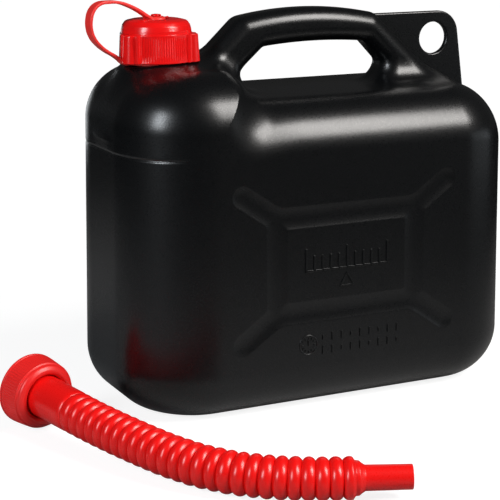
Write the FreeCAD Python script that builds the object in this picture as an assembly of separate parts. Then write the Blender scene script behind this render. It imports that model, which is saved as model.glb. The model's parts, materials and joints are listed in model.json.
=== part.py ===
"""A ten-litre blow-moulded fuel can with a tethered screw cap, and its loose flexible pouring spout.

Millimetres, +Z up. The origin is the centre of the can's flat base. X runs along the can, with the
neck at -X and the hanging lug at +X, and the can is the same on both sides of the plane y = 0.
"""

import FreeCAD, Part
import math
import os

from FreeCAD import Placement, Rotation, Vector

# Can shell
CAN_LENGTH = 322.0
CAN_DEPTH = 168.0
CORNER_RADIUS = 58.0
BASE_EDGE_RADIUS = 35.0
WALL = 2.2
SADDLE_HEIGHT = 231.0
SADDLE_SIDE_RADIUS = 34.0
SADDLE_END_RADIUS = 54.0
SHOULDER_HEIGHT = 252.0
SHOULDER_RADIUS = 52.0
SHOULDER_FOOT = 176.8
SLOPE_TOP_X = -73.0
SLOPE_ANGLE = 62.0
GROOVE_HEIGHT = 194.5
GROOVE_WIDTH = 1.2
GROOVE_DEPTH = 0.6
GROOVE_FRONT_Y = -45.0

# Stiffeners: shallow round channels, sunk into the front and the back
CHANNEL_CENTRE_X = 0.5
CHANNEL_CENTRE_Z = 112.8
CHANNEL_FRAME_HALF_X = 57.5
CHANNEL_FRAME_HALF_Z = 35.5
CHANNEL_END_HALF_X = 84.5
CHANNEL_END_HALF_Z = 54.0
CHANNEL_WIDTH = 16.5
CHANNEL_DEPTH = 1.2

# Handle: outlines are (x, z) points, with the arched top and underside given by their highest points
HANDLE_WIDTH = 30.0
HANDLE_EDGE_RADIUS = 10.0
HANDLE_WALL = 2.6
HANDLE_LEFT_FOOT = (-96.0, 243.0)
HANDLE_TOP_LEFT = (-50.5, 285.5)
HANDLE_CROWN = (8.0, 291.0)
HANDLE_TOP_RIGHT = (64.5, 285.0)
HANDLE_RIGHT_FOOT = (128.0, 227.0)
GRIP_LEFT_FOOT = (-52.0, 226.0)
GRIP_LEFT_KNEE = (-51.5, 245.0)
GRIP_TOP_LEFT = (-31.0, 263.0)
GRIP_CROWN = (9.0, 265.5)
GRIP_TOP_RIGHT = (56.5, 263.5)
GRIP_RIGHT_KNEE = (72.5, 247.0)
GRIP_RIGHT_FOOT = (71.0, 226.0)
GRIP_KNEE_RADIUS = 6.0

# Hanging lug, a flat plate where the two mould halves are pinched together
LUG_THICKNESS = 5.0
LUG_TOP = 283.5
LUG_LEFT_X = 64.0
LUG_INNER_X = 82.0
LUG_INNER_Z = 255.0
LUG_RIGHT_X = 142.0
LUG_FOOT_X = 153.0
LUG_FOOT_Z = 200.0
LUG_CORNER_RADIUS = 18.0
LUG_HOLE_X = 121.6
LUG_HOLE_Z = 262.6
LUG_HOLE_RADIUS = 12.4

# Neck, with a right-handed screw thread. The cap's own thread lies THREAD_SHADOW under the neck's.
NECK_X = -114.0
NECK_RADIUS = 21.75
NECK_BORE_RADIUS = 19.5
NECK_TOP = 278.5
NECK_FOOT = 238.0
NECK_FOOT_FLARE = 4.0
NECK_BEAD_RISE = 0.9
NECK_BEAD_HEIGHT = 257.4
THREAD_PITCH = 6.0
THREAD_RISE = 1.5
THREAD_ROOT_WIDTH = 2.4
THREAD_CREST_WIDTH = 1.2
THREAD_TURNS = 1.25
THREAD_START = 264.0
THREAD_SHADOW = 2.25

# Screw cap
CAP_BOTTOM = 256.6
CAP_SHELF = 277.0
CAP_TOP = 284.6
CAP_SKIRT_RADIUS = 27.5
CAP_SHELF_RADIUS = 26.4
CAP_CROWN_RADIUS = 24.7
CAP_TOP_RADIUS = 22.0
CAP_THREAD_RADIUS = 23.7
CAP_THREAD_RISE = 1.45
CAP_MOUTH_RADIUS = 25.6
CAP_MOUTH_TOP = 260.4
CAP_LOBES = 3
CAP_LOBE_REACH = 32.2
CAP_LOBE_RADIUS = 7.0
CAP_LOBE_TAPER = 1.2
CAP_FIRST_LOBE_ANGLE = -157.0
CAP_WELL_RADIUS = 11.5
CAP_WELL_FLOOR = 282.6
CAP_FLUTES = 90
FLUTE_DEPTH = 0.4
GASKET_THICKNESS = 2.4
GASKET_LOW = 278.6
GASKET_INNER_RADIUS = 17.0
GASKET_OUTER_RADIUS = 23.0

# Snap button on the cap, and the tether that hangs on it
BUTTON_RADIUS = 3.4
BUTTON_HEAD_RADIUS = 4.5
BUTTON_NECK_TOP = 286.8
BUTTON_TOP = 289.4
BUTTON_SLOT = 1.2
EYELET_LOW = 284.2
EYELET_THICKNESS = 2.2
EYELET_RADIUS = 8.6
EYELET_CLEARANCE = 0.3
COLLAR_LOW = 252.5
COLLAR_THICKNESS = 2.0
COLLAR_RADIUS = 25.0
COLLAR_CLEARANCE = 0.35
TETHER_HEADING = 182.0
STRAP_WIDTH = 6.4
STRAP_THICKNESS = 1.8
STRAP_LOOP_RADIUS = 17.0
STRAP_LOOP_REACH = 38.8
STRAP_LOOP_HEIGHT = 284.3

# Flexible spout: lengths run from the open end of its nut to the tip of its nozzle
SPOUT_WALL = 1.5
SPOUT_PITCH = 8.7
SPOUT_CREST_RADIUS = 15.1
SPOUT_CREST_TAPER = 0.125
SPOUT_VALLEY_RADIUS = 11.4
SPOUT_CREST_FLAT = 0.8
SPOUT_NECK_RADIUS = 15.4
SPOUT_FLANGE_START = 9.0
SPOUT_FLANGE_THICKNESS = 2.0
SPOUT_FLANGE_RADIUS = 21.6
SPOUT_BELLOWS_START = 40.0
SPOUT_NECK_RIDGES = 4
SPOUT_LINK_RIDGES = 3
SPOUT_BENDS = (2.5, 2.0, 2.0, 6.0, 10.5, 11.5, 9.0, 7.0)
SPOUT_BEND_TRAVEL = 6.0
SPOUT_SHOULDER_LENGTH = 7.0
SPOUT_SHOULDER_RADIUS = 11.0
NOZZLE_LENGTH = 29.0
NOZZLE_RADIUS = 8.3
SEAL_START = 6.8
SEAL_INNER_RADIUS = 15.0
SEAL_OUTER_RADIUS = 21.4
NUT_LENGTH = 19.0
NUT_RADIUS = 26.0
NUT_STEP_START = 13.5
NUT_STEP_RADIUS = 21.8
NUT_FLOOR = 11.3
NUT_FLUTES = 80
NUT_CLEARANCE = 0.4
NUT_THREAD_TURNS = 0.9

# Where the spout lies: the nut's open end, its heading, and the way the spout slopes down to its bellows
SPOUT_START = Vector(-223.3, -15.0, 0)
SPOUT_HEADING = -74.9
SPOUT_FALL_HEADING = 237.9


def save(shape, node):
    """Writes one piece to its own STEP file."""
    shape.exportStep("parts/" + node + ".step")


def prism(points, low_y, high_y):
    """A closed outline of (x, z) points, extruded along Y."""
    corners = [Vector(x, low_y, z) for x, z in points]
    face = Part.Face(Part.makePolygon(corners + corners[:1]))
    return face.extrude(Vector(0, high_y - low_y, 0))


def turned(points, x=0.0, y=0.0):
    """A closed outline of (radius, z) points, turned about a vertical axis."""
    corners = [Vector(r, 0, z) for r, z in points]
    face = Part.Face(Part.makePolygon(corners + corners[:1]))
    solid = face.revolve(Vector(0, 0, 0), Vector(0, 0, 1), 360)
    solid.translate(Vector(x, y, 0))
    return solid


def level_edges(shape, z):
    """The edges of a shape that lie in the plane at height z."""
    return [e for e in shape.Edges if abs(e.BoundBox.ZMin - z) < 1e-4 and abs(e.BoundBox.ZMax - z) < 1e-4]


def upright_edges(shape):
    """The straight edges of a shape that stand along Z."""
    return [e for e in shape.Edges if e.BoundBox.XLength < 1e-4 and e.BoundBox.YLength < 1e-4]


def crosswise_edges(shape):
    """The straight edges of a shape that run along Y."""
    return [e for e in shape.Edges if e.BoundBox.XLength < 1e-4 and e.BoundBox.ZLength < 1e-4]


def rounded_block(inset, height, side_radius, end_radius):
    """A box with upright corners, base edge and top edge all rounded, shrunk by inset on every side.

    The top edge has side_radius along the front and back and end_radius along the two ends."""
    half_x = CAN_LENGTH / 2 - inset
    half_y = CAN_DEPTH / 2 - inset
    top = height - inset
    block = Part.makeBox(2 * half_x, 2 * half_y, top - inset, Vector(-half_x, -half_y, inset))
    block = block.makeFillet(CORNER_RADIUS - inset, upright_edges(block))
    block = block.makeFillet(BASE_EDGE_RADIUS - inset, level_edges(block, inset))

    def radius_at(edge, parameter):
        at_end = abs(edge.valueAt(parameter).x) > half_x - 1e-3
        return (end_radius if at_end else side_radius) - inset

    document = FreeCAD.newDocument()
    base = document.addObject("Part::Feature", "base")
    base.Shape = block
    rounding = document.addObject("Part::Fillet", "rounding")
    rounding.Base = base
    rounding.Edges = [
        (number, radius_at(edge, edge.FirstParameter), radius_at(edge, edge.LastParameter))
        for number, edge in enumerate(block.Edges, 1)
        if abs(edge.BoundBox.ZMin - top) < 1e-4
    ]
    document.recompute()
    front = rounding.Shape.common(
        Part.makeBox(CAN_LENGTH, CAN_DEPTH, CAN_LENGTH, Vector(-CAN_LENGTH / 2, -CAN_DEPTH, 0))
    )
    FreeCAD.closeDocument(document.Name)
    return front.fuse(front.mirror(Vector(0, 0, 0), Vector(0, 1, 0))).removeSplitter()


def capsule(start, end, radius):
    """A round bar with round ends between two points."""
    along = end - start
    bar = Part.makeCylinder(radius, along.Length, start, along)
    return bar.fuse([Part.makeSphere(radius, start), Part.makeSphere(radius, end)])


def channels(inset):
    """The bars that press the frame and its four diagonal arms into both broad sides."""
    half_width = CHANNEL_WIDTH / 2
    radius = (half_width**2 + CHANNEL_DEPTH**2) / (2 * CHANNEL_DEPTH)
    bars = []
    for side in (-1, 1):
        y = side * (CAN_DEPTH / 2 - CHANNEL_DEPTH + radius)

        def place(half_x, half_z, sign_x, sign_z):
            return Vector(CHANNEL_CENTRE_X + sign_x * half_x, y, CHANNEL_CENTRE_Z + sign_z * half_z)

        for sign in (-1, 1):
            corners = [place(CHANNEL_FRAME_HALF_X, CHANNEL_FRAME_HALF_Z, s, sign) for s in (-1, 1)]
            bars.append(capsule(corners[0], corners[1], radius + inset))
            corners = [place(CHANNEL_FRAME_HALF_X, CHANNEL_FRAME_HALF_Z, sign, s) for s in (-1, 1)]
            bars.append(capsule(corners[0], corners[1], radius + inset))
            for s in (-1, 1):
                inner = place(CHANNEL_FRAME_HALF_X, CHANNEL_FRAME_HALF_Z, s, sign)
                outer = place(CHANNEL_END_HALF_X, CHANNEL_END_HALF_Z, s, sign)
                bars.append(capsule(inner, outer, radius + inset))
    return bars[0].fuse(bars[1:])


def shoulder_region(inset):
    """The space at the neck end, from SHOULDER_FOOT up, that ends at the slope down to the saddle."""
    run = 1 / math.tan(math.radians(SLOPE_ANGLE))
    top_x = SLOPE_TOP_X - inset / math.sin(math.radians(SLOPE_ANGLE))
    high_x = top_x - (CAN_LENGTH - SHOULDER_HEIGHT) * run
    low_x = top_x + (SHOULDER_HEIGHT - SHOULDER_FOOT) * run
    outline = [
        (-CAN_LENGTH, SHOULDER_FOOT),
        (low_x, SHOULDER_FOOT),
        (high_x, CAN_LENGTH),
        (-CAN_LENGTH, CAN_LENGTH),
    ]
    return prism(outline, -CAN_DEPTH, CAN_DEPTH)


def body(inset):
    """The can's rounded body without its handle: high shoulder, low saddle and the channels."""
    region = shoulder_region(inset)
    shoulder = rounded_block(inset, SHOULDER_HEIGHT, SHOULDER_RADIUS, SHOULDER_RADIUS).common(region)
    saddle = rounded_block(inset, SADDLE_HEIGHT, SADDLE_SIDE_RADIUS, SADDLE_END_RADIUS).cut(region)
    return saddle.fuse(shoulder).cut(channels(inset))


def arc_edge(start, crown, end, y):
    """A circular arc through three (x, z) points in the plane at y."""
    points = [Vector(x, y, z) for x, z in (start, crown, end)]
    return Part.Arc(*points).toShape()


def line_edge(start, end, y):
    """A straight edge between two (x, z) points in the plane at y."""
    return Part.makeLine(Vector(start[0], y, start[1]), Vector(end[0], y, end[1]))


def edges_near(bar, points):
    """The edges of the handle's bar that cross it at the given (x, z) corners."""
    return [
        e
        for e in crosswise_edges(bar)
        if any(math.hypot(e.CenterOfMass.x - x, e.CenterOfMass.z - z) < 2 * HANDLE_WALL for x, z in points)
    ]


def handle(inset):
    """The bar of the handle with its two legs, shrunk by inset on every side."""
    half = HANDLE_WIDTH / 2 - inset

    def inside(point, shift_x, shift_z):
        return (point[0] + shift_x * inset, point[1] + shift_z * inset)

    outline = [
        line_edge(inside(HANDLE_LEFT_FOOT, 1.4, 0), inside(HANDLE_TOP_LEFT, 0.4, -1), -half),
        arc_edge(
            inside(HANDLE_TOP_LEFT, 0.4, -1),
            inside(HANDLE_CROWN, 0, -1),
            inside(HANDLE_TOP_RIGHT, -0.4, -1),
            -half,
        ),
        line_edge(inside(HANDLE_TOP_RIGHT, -0.4, -1), inside(HANDLE_RIGHT_FOOT, -1.4, 0), -half),
        line_edge(inside(HANDLE_RIGHT_FOOT, -1.4, 0), inside(GRIP_RIGHT_FOOT, 1, 0), -half),
        line_edge(inside(GRIP_RIGHT_FOOT, 1, 0), inside(GRIP_RIGHT_KNEE, 1, 0.4), -half),
        line_edge(inside(GRIP_RIGHT_KNEE, 1, 0.4), inside(GRIP_TOP_RIGHT, 0.4, 1), -half),
        arc_edge(
            inside(GRIP_TOP_RIGHT, 0.4, 1),
            inside(GRIP_CROWN, 0, 1),
            inside(GRIP_TOP_LEFT, -0.4, 1),
            -half,
        ),
        line_edge(inside(GRIP_TOP_LEFT, -0.4, 1), inside(GRIP_LEFT_KNEE, -1, 0.4), -half),
        line_edge(inside(GRIP_LEFT_KNEE, -1, 0.4), inside(GRIP_LEFT_FOOT, -1, 0), -half),
        line_edge(inside(GRIP_LEFT_FOOT, -1, 0), inside(HANDLE_LEFT_FOOT, 1.4, 0), -half),
    ]
    bar = Part.Face(Part.Wire(outline)).extrude(Vector(0, 2 * half, 0))
    knees = edges_near(bar, (GRIP_LEFT_KNEE, GRIP_TOP_LEFT, GRIP_TOP_RIGHT, GRIP_RIGHT_KNEE))
    bar = bar.makeFillet(GRIP_KNEE_RADIUS + inset, knees)
    tops = edges_near(bar, (HANDLE_TOP_LEFT, HANDLE_TOP_RIGHT))
    bar = bar.makeFillet(2 * GRIP_KNEE_RADIUS - inset, tops)
    foot = min(HANDLE_RIGHT_FOOT[1], GRIP_LEFT_FOOT[1]) + 2.0
    rims = [e for e in bar.Edges if e.BoundBox.YLength < 1e-4 and e.BoundBox.ZMax > foot]
    return bar.makeFillet(HANDLE_EDGE_RADIUS - inset, rims)


def lug():
    """The flat plate behind the handle, with its rounded corner and its hanging hole."""
    plate = prism(
        [
            (LUG_LEFT_X, LUG_TOP),
            (LUG_RIGHT_X, LUG_TOP),
            (LUG_FOOT_X, LUG_FOOT_Z),
            (LUG_INNER_X + LUG_CORNER_RADIUS, LUG_FOOT_Z),
            (LUG_INNER_X, HANDLE_RIGHT_FOOT[1]),
            (LUG_INNER_X, LUG_INNER_Z),
        ],
        -LUG_THICKNESS / 2,
        LUG_THICKNESS / 2,
    )
    corner = [
        e for e in crosswise_edges(plate) if e.CenterOfMass.x > LUG_HOLE_X and e.CenterOfMass.z > LUG_HOLE_Z
    ]
    return plate.makeFillet(LUG_CORNER_RADIUS, corner)


def lug_hole():
    """The bar that cuts the hanging hole."""
    start = Vector(LUG_HOLE_X, -LUG_THICKNESS, LUG_HOLE_Z)
    return Part.makeCylinder(LUG_HOLE_RADIUS, 2 * LUG_THICKNESS, start, Vector(0, 1, 0))


def thread(radius, rise, start_z, turns, phase):
    """A screw thread: a rib of trapezoid section that winds up a cylinder, outward if rise is positive."""
    root = radius - math.copysign(0.4, rise)
    crest = radius + rise
    half_root = THREAD_ROOT_WIDTH / 2
    half_crest = THREAD_CREST_WIDTH / 2
    section = Part.makePolygon(
        [
            Vector(root, 0, -half_root),
            Vector(crest, 0, -half_crest),
            Vector(crest, 0, half_crest),
            Vector(root, 0, half_root),
            Vector(root, 0, -half_root),
        ]
    )
    path = Part.Wire(Part.makeHelix(THREAD_PITCH, THREAD_PITCH * turns, radius))
    rib = path.makePipeShell([section], True, True)
    rib.rotate(Vector(0, 0, 0), Vector(0, 0, 1), phase)
    rib.translate(Vector(0, 0, start_z))
    return rib


def neck():
    """The neck tube with the bead that keeps the tether's collar down, and its thread."""
    bead = NECK_RADIUS + NECK_BEAD_RISE
    tube = turned(
        [
            (0, NECK_FOOT),
            (NECK_RADIUS + NECK_FOOT_FLARE, NECK_FOOT),
            (NECK_RADIUS, SHOULDER_HEIGHT - 1),
            (NECK_RADIUS, NECK_BEAD_HEIGHT - NECK_BEAD_RISE),
            (bead, NECK_BEAD_HEIGHT),
            (NECK_RADIUS, NECK_BEAD_HEIGHT + NECK_BEAD_RISE),
            (NECK_RADIUS, NECK_TOP - 0.8),
            (NECK_RADIUS - 0.8, NECK_TOP),
            (0, NECK_TOP),
        ]
    )
    rib = thread(NECK_RADIUS, THREAD_RISE, THREAD_START, THREAD_TURNS, 0)
    solid = tube.fuse(rib)
    solid.translate(Vector(NECK_X, 0, 0))
    return solid


def end_groove():
    """The fine groove that runs round the neck end of the can, level, and stops before the front."""
    def slab(inset):
        half_x = CAN_LENGTH / 2 - inset
        half_y = CAN_DEPTH / 2 - inset
        box = Part.makeBox(2 * half_x, 2 * half_y, GROOVE_WIDTH, Vector(-half_x, -half_y, GROOVE_HEIGHT))
        return box.makeFillet(CORNER_RADIUS - inset, upright_edges(box))

    ring = slab(-1.0).cut(slab(GROOVE_DEPTH))
    reach = Part.makeBox(
        CAN_LENGTH / 2,
        -2 * GROOVE_FRONT_Y,
        CAN_LENGTH,
        Vector(-CAN_LENGTH, GROOVE_FRONT_Y, 0),
    )
    return ring.common(reach)


def can_shell():
    """The blow-moulded can in one piece: body, hollow handle, lug and threaded neck."""
    outer = body(0).fuse([handle(0), lug(), neck()])
    inner = body(WALL).fuse(handle(HANDLE_WALL))
    bore = Part.makeCylinder(NECK_BORE_RADIUS, NECK_TOP - NECK_FOOT + 1, Vector(NECK_X, 0, NECK_FOOT))
    return outer.cut([inner, bore, lug_hole(), end_groove()])


def fluted(radius_low, radius_high, low, high, count):
    """A slightly conical drum with fine upright flutes all round, centred on the Z axis."""
    def star(radius, z):
        points = []
        for step in range(2 * count + 1):
            angle = math.pi * step / count
            reach = radius if step % 2 == 0 else radius - FLUTE_DEPTH
            points.append(Vector(reach * math.cos(angle), reach * math.sin(angle), z))
        points[-1] = points[0]
        return Part.makePolygon(points)

    return Part.makeLoft([star(radius_low, low), star(radius_high, high)], True, True)


def cap_lobe(angle):
    """One grip lobe, a tapered half-round bar that stands out of the cap's skirt."""
    height = CAP_SHELF - CAP_BOTTOM
    centre = CAP_LOBE_REACH - CAP_LOBE_RADIUS
    bar = Part.makeCone(CAP_LOBE_RADIUS, CAP_LOBE_RADIUS - CAP_LOBE_TAPER, height, Vector(centre, 0, CAP_BOTTOM))
    bar = bar.makeFillet(1.0, level_edges(bar, CAP_SHELF))
    bar.rotate(Vector(0, 0, 0), Vector(0, 0, 1), angle)
    return bar


def screw_cap():
    """The cap: fluted skirt with grip lobes, crown, sunk well with a split button, and its inner thread."""
    crown = turned(
        [
            (0, CAP_SHELF - 1),
            (CAP_CROWN_RADIUS, CAP_SHELF - 1),
            (CAP_CROWN_RADIUS, CAP_SHELF + 2.6),
            (CAP_CROWN_RADIUS - 0.8, CAP_TOP - 2.2),
            (CAP_TOP_RADIUS, CAP_TOP),
            (CAP_WELL_RADIUS, CAP_TOP),
            (CAP_WELL_RADIUS - 0.6, CAP_WELL_FLOOR),
            (BUTTON_RADIUS, CAP_WELL_FLOOR),
            (BUTTON_RADIUS, BUTTON_NECK_TOP),
            (BUTTON_HEAD_RADIUS, BUTTON_NECK_TOP + 0.6),
            (BUTTON_RADIUS, BUTTON_TOP),
            (0, BUTTON_TOP),
        ]
    )
    skirt = fluted(CAP_SKIRT_RADIUS, CAP_SHELF_RADIUS, CAP_BOTTOM, CAP_SHELF, CAP_FLUTES)
    lobes = [cap_lobe(CAP_FIRST_LOBE_ANGLE + 360.0 * i / CAP_LOBES) for i in range(CAP_LOBES)]
    gasket_top = GASKET_LOW + GASKET_THICKNESS
    hollow = turned(
        [
            (0, CAP_BOTTOM - 1),
            (CAP_MOUTH_RADIUS, CAP_BOTTOM - 1),
            (CAP_MOUTH_RADIUS, CAP_MOUTH_TOP - 2),
            (CAP_THREAD_RADIUS, CAP_MOUTH_TOP),
            (CAP_THREAD_RADIUS, gasket_top),
            (0, gasket_top),
        ]
    )
    slots = [
        Part.makeBox(
            2 * BUTTON_HEAD_RADIUS + 1,
            BUTTON_SLOT,
            BUTTON_TOP,
            Vector(-BUTTON_HEAD_RADIUS - 0.5, -BUTTON_SLOT / 2, BUTTON_NECK_TOP - 0.5),
        )
        for _ in range(2)
    ]
    slots[1].rotate(Vector(0, 0, 0), Vector(0, 0, 1), 90)
    shell = crown.fuse([skirt] + lobes).cut([hollow] + slots)
    rib = thread(CAP_THREAD_RADIUS, -CAP_THREAD_RISE, THREAD_START - THREAD_SHADOW, THREAD_TURNS, 0)
    cap = shell.fuse(rib)
    cap.translate(Vector(NECK_X, 0, 0))
    return cap


def washer(inner, outer, low, thickness):
    """A flat ring about the Z axis."""
    return turned([(inner, low), (outer, low), (outer, low + thickness), (inner, low + thickness)])


def cap_gasket():
    """The flat seal that lies under the cap's crown and presses on the neck's rim."""
    ring = washer(GASKET_INNER_RADIUS, GASKET_OUTER_RADIUS, GASKET_LOW, GASKET_THICKNESS)
    ring.translate(Vector(NECK_X, 0, 0))
    return ring


def on_tether(shape):
    """Turns a piece of the tether, built along +X about the Z axis, to the tether's side of the neck."""
    shape.rotate(Vector(0, 0, 0), Vector(0, 0, 1), TETHER_HEADING)
    shape.translate(Vector(NECK_X, 0, 0))
    return shape


def tether_ends():
    """The (reach, z) points where the strap's centre line leaves the collar and meets the eyelet."""
    return (COLLAR_RADIUS, COLLAR_LOW + COLLAR_THICKNESS / 2), (EYELET_RADIUS, EYELET_LOW + EYELET_THICKNESS / 2)


def tether_collar():
    """The ring that sits loose round the neck, under the bead."""
    return on_tether(washer(NECK_RADIUS + COLLAR_CLEARANCE, COLLAR_RADIUS, COLLAR_LOW, COLLAR_THICKNESS))


def tether_eyelet():
    """The disc at the strap's other end, which hangs on the cap's button and lets the cap turn."""
    return on_tether(washer(BUTTON_RADIUS + EYELET_CLEARANCE, EYELET_RADIUS, EYELET_LOW, EYELET_THICKNESS))


def tangent_point(outside, side):
    """Where a line from a point outside the strap's loop touches the loop, on the side asked for."""
    centre = Vector(STRAP_LOOP_REACH, 0, STRAP_LOOP_HEIGHT)
    away = Vector(outside[0], 0, outside[1]) - centre
    spread = math.acos(STRAP_LOOP_RADIUS / away.Length)
    angle = math.atan2(away.z, away.x) + side * spread
    return angle


def tether_strap():
    """The flat strap: out from the collar, round a loop and back down to the eyelet."""
    collar_end, eyelet_end = tether_ends()
    low_angle = tangent_point(collar_end, 1)
    high_angle = tangent_point(eyelet_end, -1)

    def loop_point(angle, shift):
        radius = STRAP_LOOP_RADIUS + shift
        return (STRAP_LOOP_REACH + radius * math.cos(angle), STRAP_LOOP_HEIGHT + radius * math.sin(angle))

    def shifted(point, angle, shift):
        return (point[0] + shift * math.cos(angle), point[1] + shift * math.sin(angle))

    half = STRAP_THICKNESS / 2
    sides = []
    for shift in (half, -half):
        sides.append(
            [
                shifted(collar_end, low_angle, shift),
                loop_point(low_angle, shift),
                loop_point((low_angle + high_angle) / 2, shift),
                loop_point(high_angle, shift),
                shifted(eyelet_end, high_angle, shift),
            ]
        )
    edges = []
    y = -STRAP_WIDTH / 2
    for side in sides:
        edges.append(line_edge(side[0], side[1], y))
        edges.append(arc_edge(side[1], side[2], side[3], y))
        edges.append(line_edge(side[3], side[4], y))
    edges.append(line_edge(sides[0][0], sides[1][0], y))
    edges.append(line_edge(sides[0][4], sides[1][4], y))
    outline = Part.Wire(Part.__sortEdges__(edges))
    band = Part.Face(outline).extrude(Vector(0, STRAP_WIDTH, 0))
    clear_collar = Part.makeCylinder(COLLAR_RADIUS, CAN_LENGTH)
    clear_eyelet = Part.makeCylinder(EYELET_RADIUS, 3 * STRAP_THICKNESS, Vector(0, 0, EYELET_LOW - STRAP_THICKNESS))
    high = Part.makeBox(CAN_LENGTH, CAN_LENGTH, CAN_LENGTH, Vector(-CAN_LENGTH / 2, -CAN_LENGTH / 2, CAP_SHELF))
    return on_tether(band.cut([clear_collar.cut(high), clear_eyelet]))


def along(points):
    """A closed outline of (length, radius) points, turned about the X axis."""
    corners = [Vector(x, r, 0) for x, r in points]
    face = Part.Face(Part.makePolygon(corners + corners[:1]))
    return face.revolve(Vector(0, 0, 0), Vector(1, 0, 0), 360)


def tube(outline):
    """A tube of SPOUT_WALL about the X axis, from its outer (length, radius) outline."""
    return along(outline + [(x, r - SPOUT_WALL) for x, r in reversed(outline)])


def crest_radius(link):
    """The radius over the ridges of a link, which falls a little from each link to the next."""
    return SPOUT_CREST_RADIUS - SPOUT_CREST_TAPER * link


def ridges(start, count, link):
    """The zigzag outline of count bellows ridges of a link, without its first valley."""
    outline = []
    for i in range(count):
        crest = start + (i + 0.5) * SPOUT_PITCH
        outline.append((crest - SPOUT_CREST_FLAT / 2, crest_radius(link)))
        outline.append((crest + SPOUT_CREST_FLAT / 2, crest_radius(link)))
        outline.append((start + (i + 1) * SPOUT_PITCH, SPOUT_VALLEY_RADIUS))
    return outline


def relief(at, bend, way):
    """The wedges that part two links of the bellows at a hinge, so that they never meet as it bends.

    way is 1 for the link after the hinge and -1 for the link before it."""
    reach = 2 * SPOUT_CREST_RADIUS
    inner = math.tan(math.radians((SPOUT_BEND_TRAVEL + bend) / 2))
    outer = math.tan(math.radians(max(0.0, SPOUT_BEND_TRAVEL - bend) / 2))
    gap = 0.05
    points = [
        Vector(at - way * reach, -reach, -reach),
        Vector(at + way * (gap + reach * outer), -reach, -reach),
        Vector(at + way * gap, 0, -reach),
        Vector(at + way * (gap + reach * inner), reach, -reach),
        Vector(at - way * reach, reach, -reach),
    ]
    return Part.Face(Part.makePolygon(points + points[:1])).extrude(Vector(0, 0, 2 * reach))


def spout_neck_solid():
    """The first link: the flange, the smooth neck and the first ridges, from the nut's open end."""
    end = SPOUT_BELLOWS_START + SPOUT_NECK_RIDGES * SPOUT_PITCH
    flange_end = SPOUT_FLANGE_START + SPOUT_FLANGE_THICKNESS
    outline = [(SPOUT_FLANGE_START, SPOUT_NECK_RADIUS), (SPOUT_BELLOWS_START - 3, SPOUT_NECK_RADIUS)]
    outline.append((SPOUT_BELLOWS_START, SPOUT_VALLEY_RADIUS + 2))
    outline += ridges(SPOUT_BELLOWS_START, SPOUT_NECK_RIDGES, 0)
    flange = along(
        [
            (SPOUT_FLANGE_START, SPOUT_NECK_RADIUS - SPOUT_WALL),
            (SPOUT_FLANGE_START, SPOUT_FLANGE_RADIUS),
            (flange_end, SPOUT_FLANGE_RADIUS),
            (flange_end, SPOUT_NECK_RADIUS - SPOUT_WALL),
        ]
    )
    return tube(outline).fuse(flange).cut(relief(end, SPOUT_BENDS[0], -1))


def spout_link_solid(link, bend_before, bend_after):
    """One middle link of the bellows, from hinge to hinge."""
    length = SPOUT_LINK_RIDGES * SPOUT_PITCH
    solid = tube([(0, SPOUT_VALLEY_RADIUS)] + ridges(0, SPOUT_LINK_RIDGES, link))
    return solid.cut([relief(0, bend_before, 1), relief(length, bend_after, -1)])


def spout_nozzle_solid(link, bend_before):
    """The last link: three ridges, a stepped shoulder and the straight nozzle."""
    end = SPOUT_LINK_RIDGES * SPOUT_PITCH
    shoulder_end = end + SPOUT_SHOULDER_LENGTH
    outline = [(0, SPOUT_VALLEY_RADIUS)] + ridges(0, SPOUT_LINK_RIDGES, link)
    outline[-1] = (end - SPOUT_PITCH / 4, SPOUT_SHOULDER_RADIUS + 1.5)
    outline += [
        (end, SPOUT_SHOULDER_RADIUS),
        (shoulder_end - 4.0, SPOUT_SHOULDER_RADIUS),
        (shoulder_end - 2.0, NOZZLE_RADIUS),
        (shoulder_end + NOZZLE_LENGTH, NOZZLE_RADIUS),
    ]
    return tube(outline).cut(relief(0, bend_before, 1))


def spout_seal():
    """The flat seal on the spout's flange, inside the nut."""
    end = SPOUT_FLANGE_START
    return along(
        [
            (SEAL_START, SEAL_INNER_RADIUS),
            (SEAL_START, SEAL_OUTER_RADIUS),
            (end, SEAL_OUTER_RADIUS),
            (end, SEAL_INNER_RADIUS),
        ]
    )


def spout_nut():
    """The fluted union nut that screws the spout on to the neck in the cap's place."""
    drum = fluted(NUT_RADIUS, NUT_RADIUS, 0, NUT_STEP_START, NUT_FLUTES)
    step = turned(
        [
            (0, 1),
            (NUT_STEP_RADIUS + 2.4, 1),
            (NUT_STEP_RADIUS + 2.4, NUT_STEP_START),
            (NUT_STEP_RADIUS, NUT_STEP_START + 1.6),
            (NUT_STEP_RADIUS, NUT_LENGTH - 1.2),
            (NUT_STEP_RADIUS - 1.2, NUT_LENGTH),
            (0, NUT_LENGTH),
        ]
    )
    hollow = turned(
        [
            (0, -1),
            (CAP_THREAD_RADIUS + 0.8, -1),
            (CAP_THREAD_RADIUS, 1),
            (CAP_THREAD_RADIUS, NUT_FLOOR),
            (SPOUT_NECK_RADIUS + NUT_CLEARANCE, NUT_FLOOR),
            (SPOUT_NECK_RADIUS + NUT_CLEARANCE, NUT_LENGTH + 1),
            (0, NUT_LENGTH + 1),
        ]
    )
    rib = thread(CAP_THREAD_RADIUS, -CAP_THREAD_RISE, THREAD_ROOT_WIDTH, NUT_THREAD_TURNS, 0)
    nut = drum.fuse(step).cut(hollow).fuse(rib)
    nut.rotate(Vector(0, 0, 0), Vector(0, 1, 0), 90)
    return nut


def spout_stations():
    """(distance to the next hinge, turn at that hinge) for each link but the last."""
    first = SPOUT_BELLOWS_START + SPOUT_NECK_RIDGES * SPOUT_PITCH
    link = SPOUT_LINK_RIDGES * SPOUT_PITCH
    return [(first if i == 0 else link, bend) for i, bend in enumerate(SPOUT_BENDS)]


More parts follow.
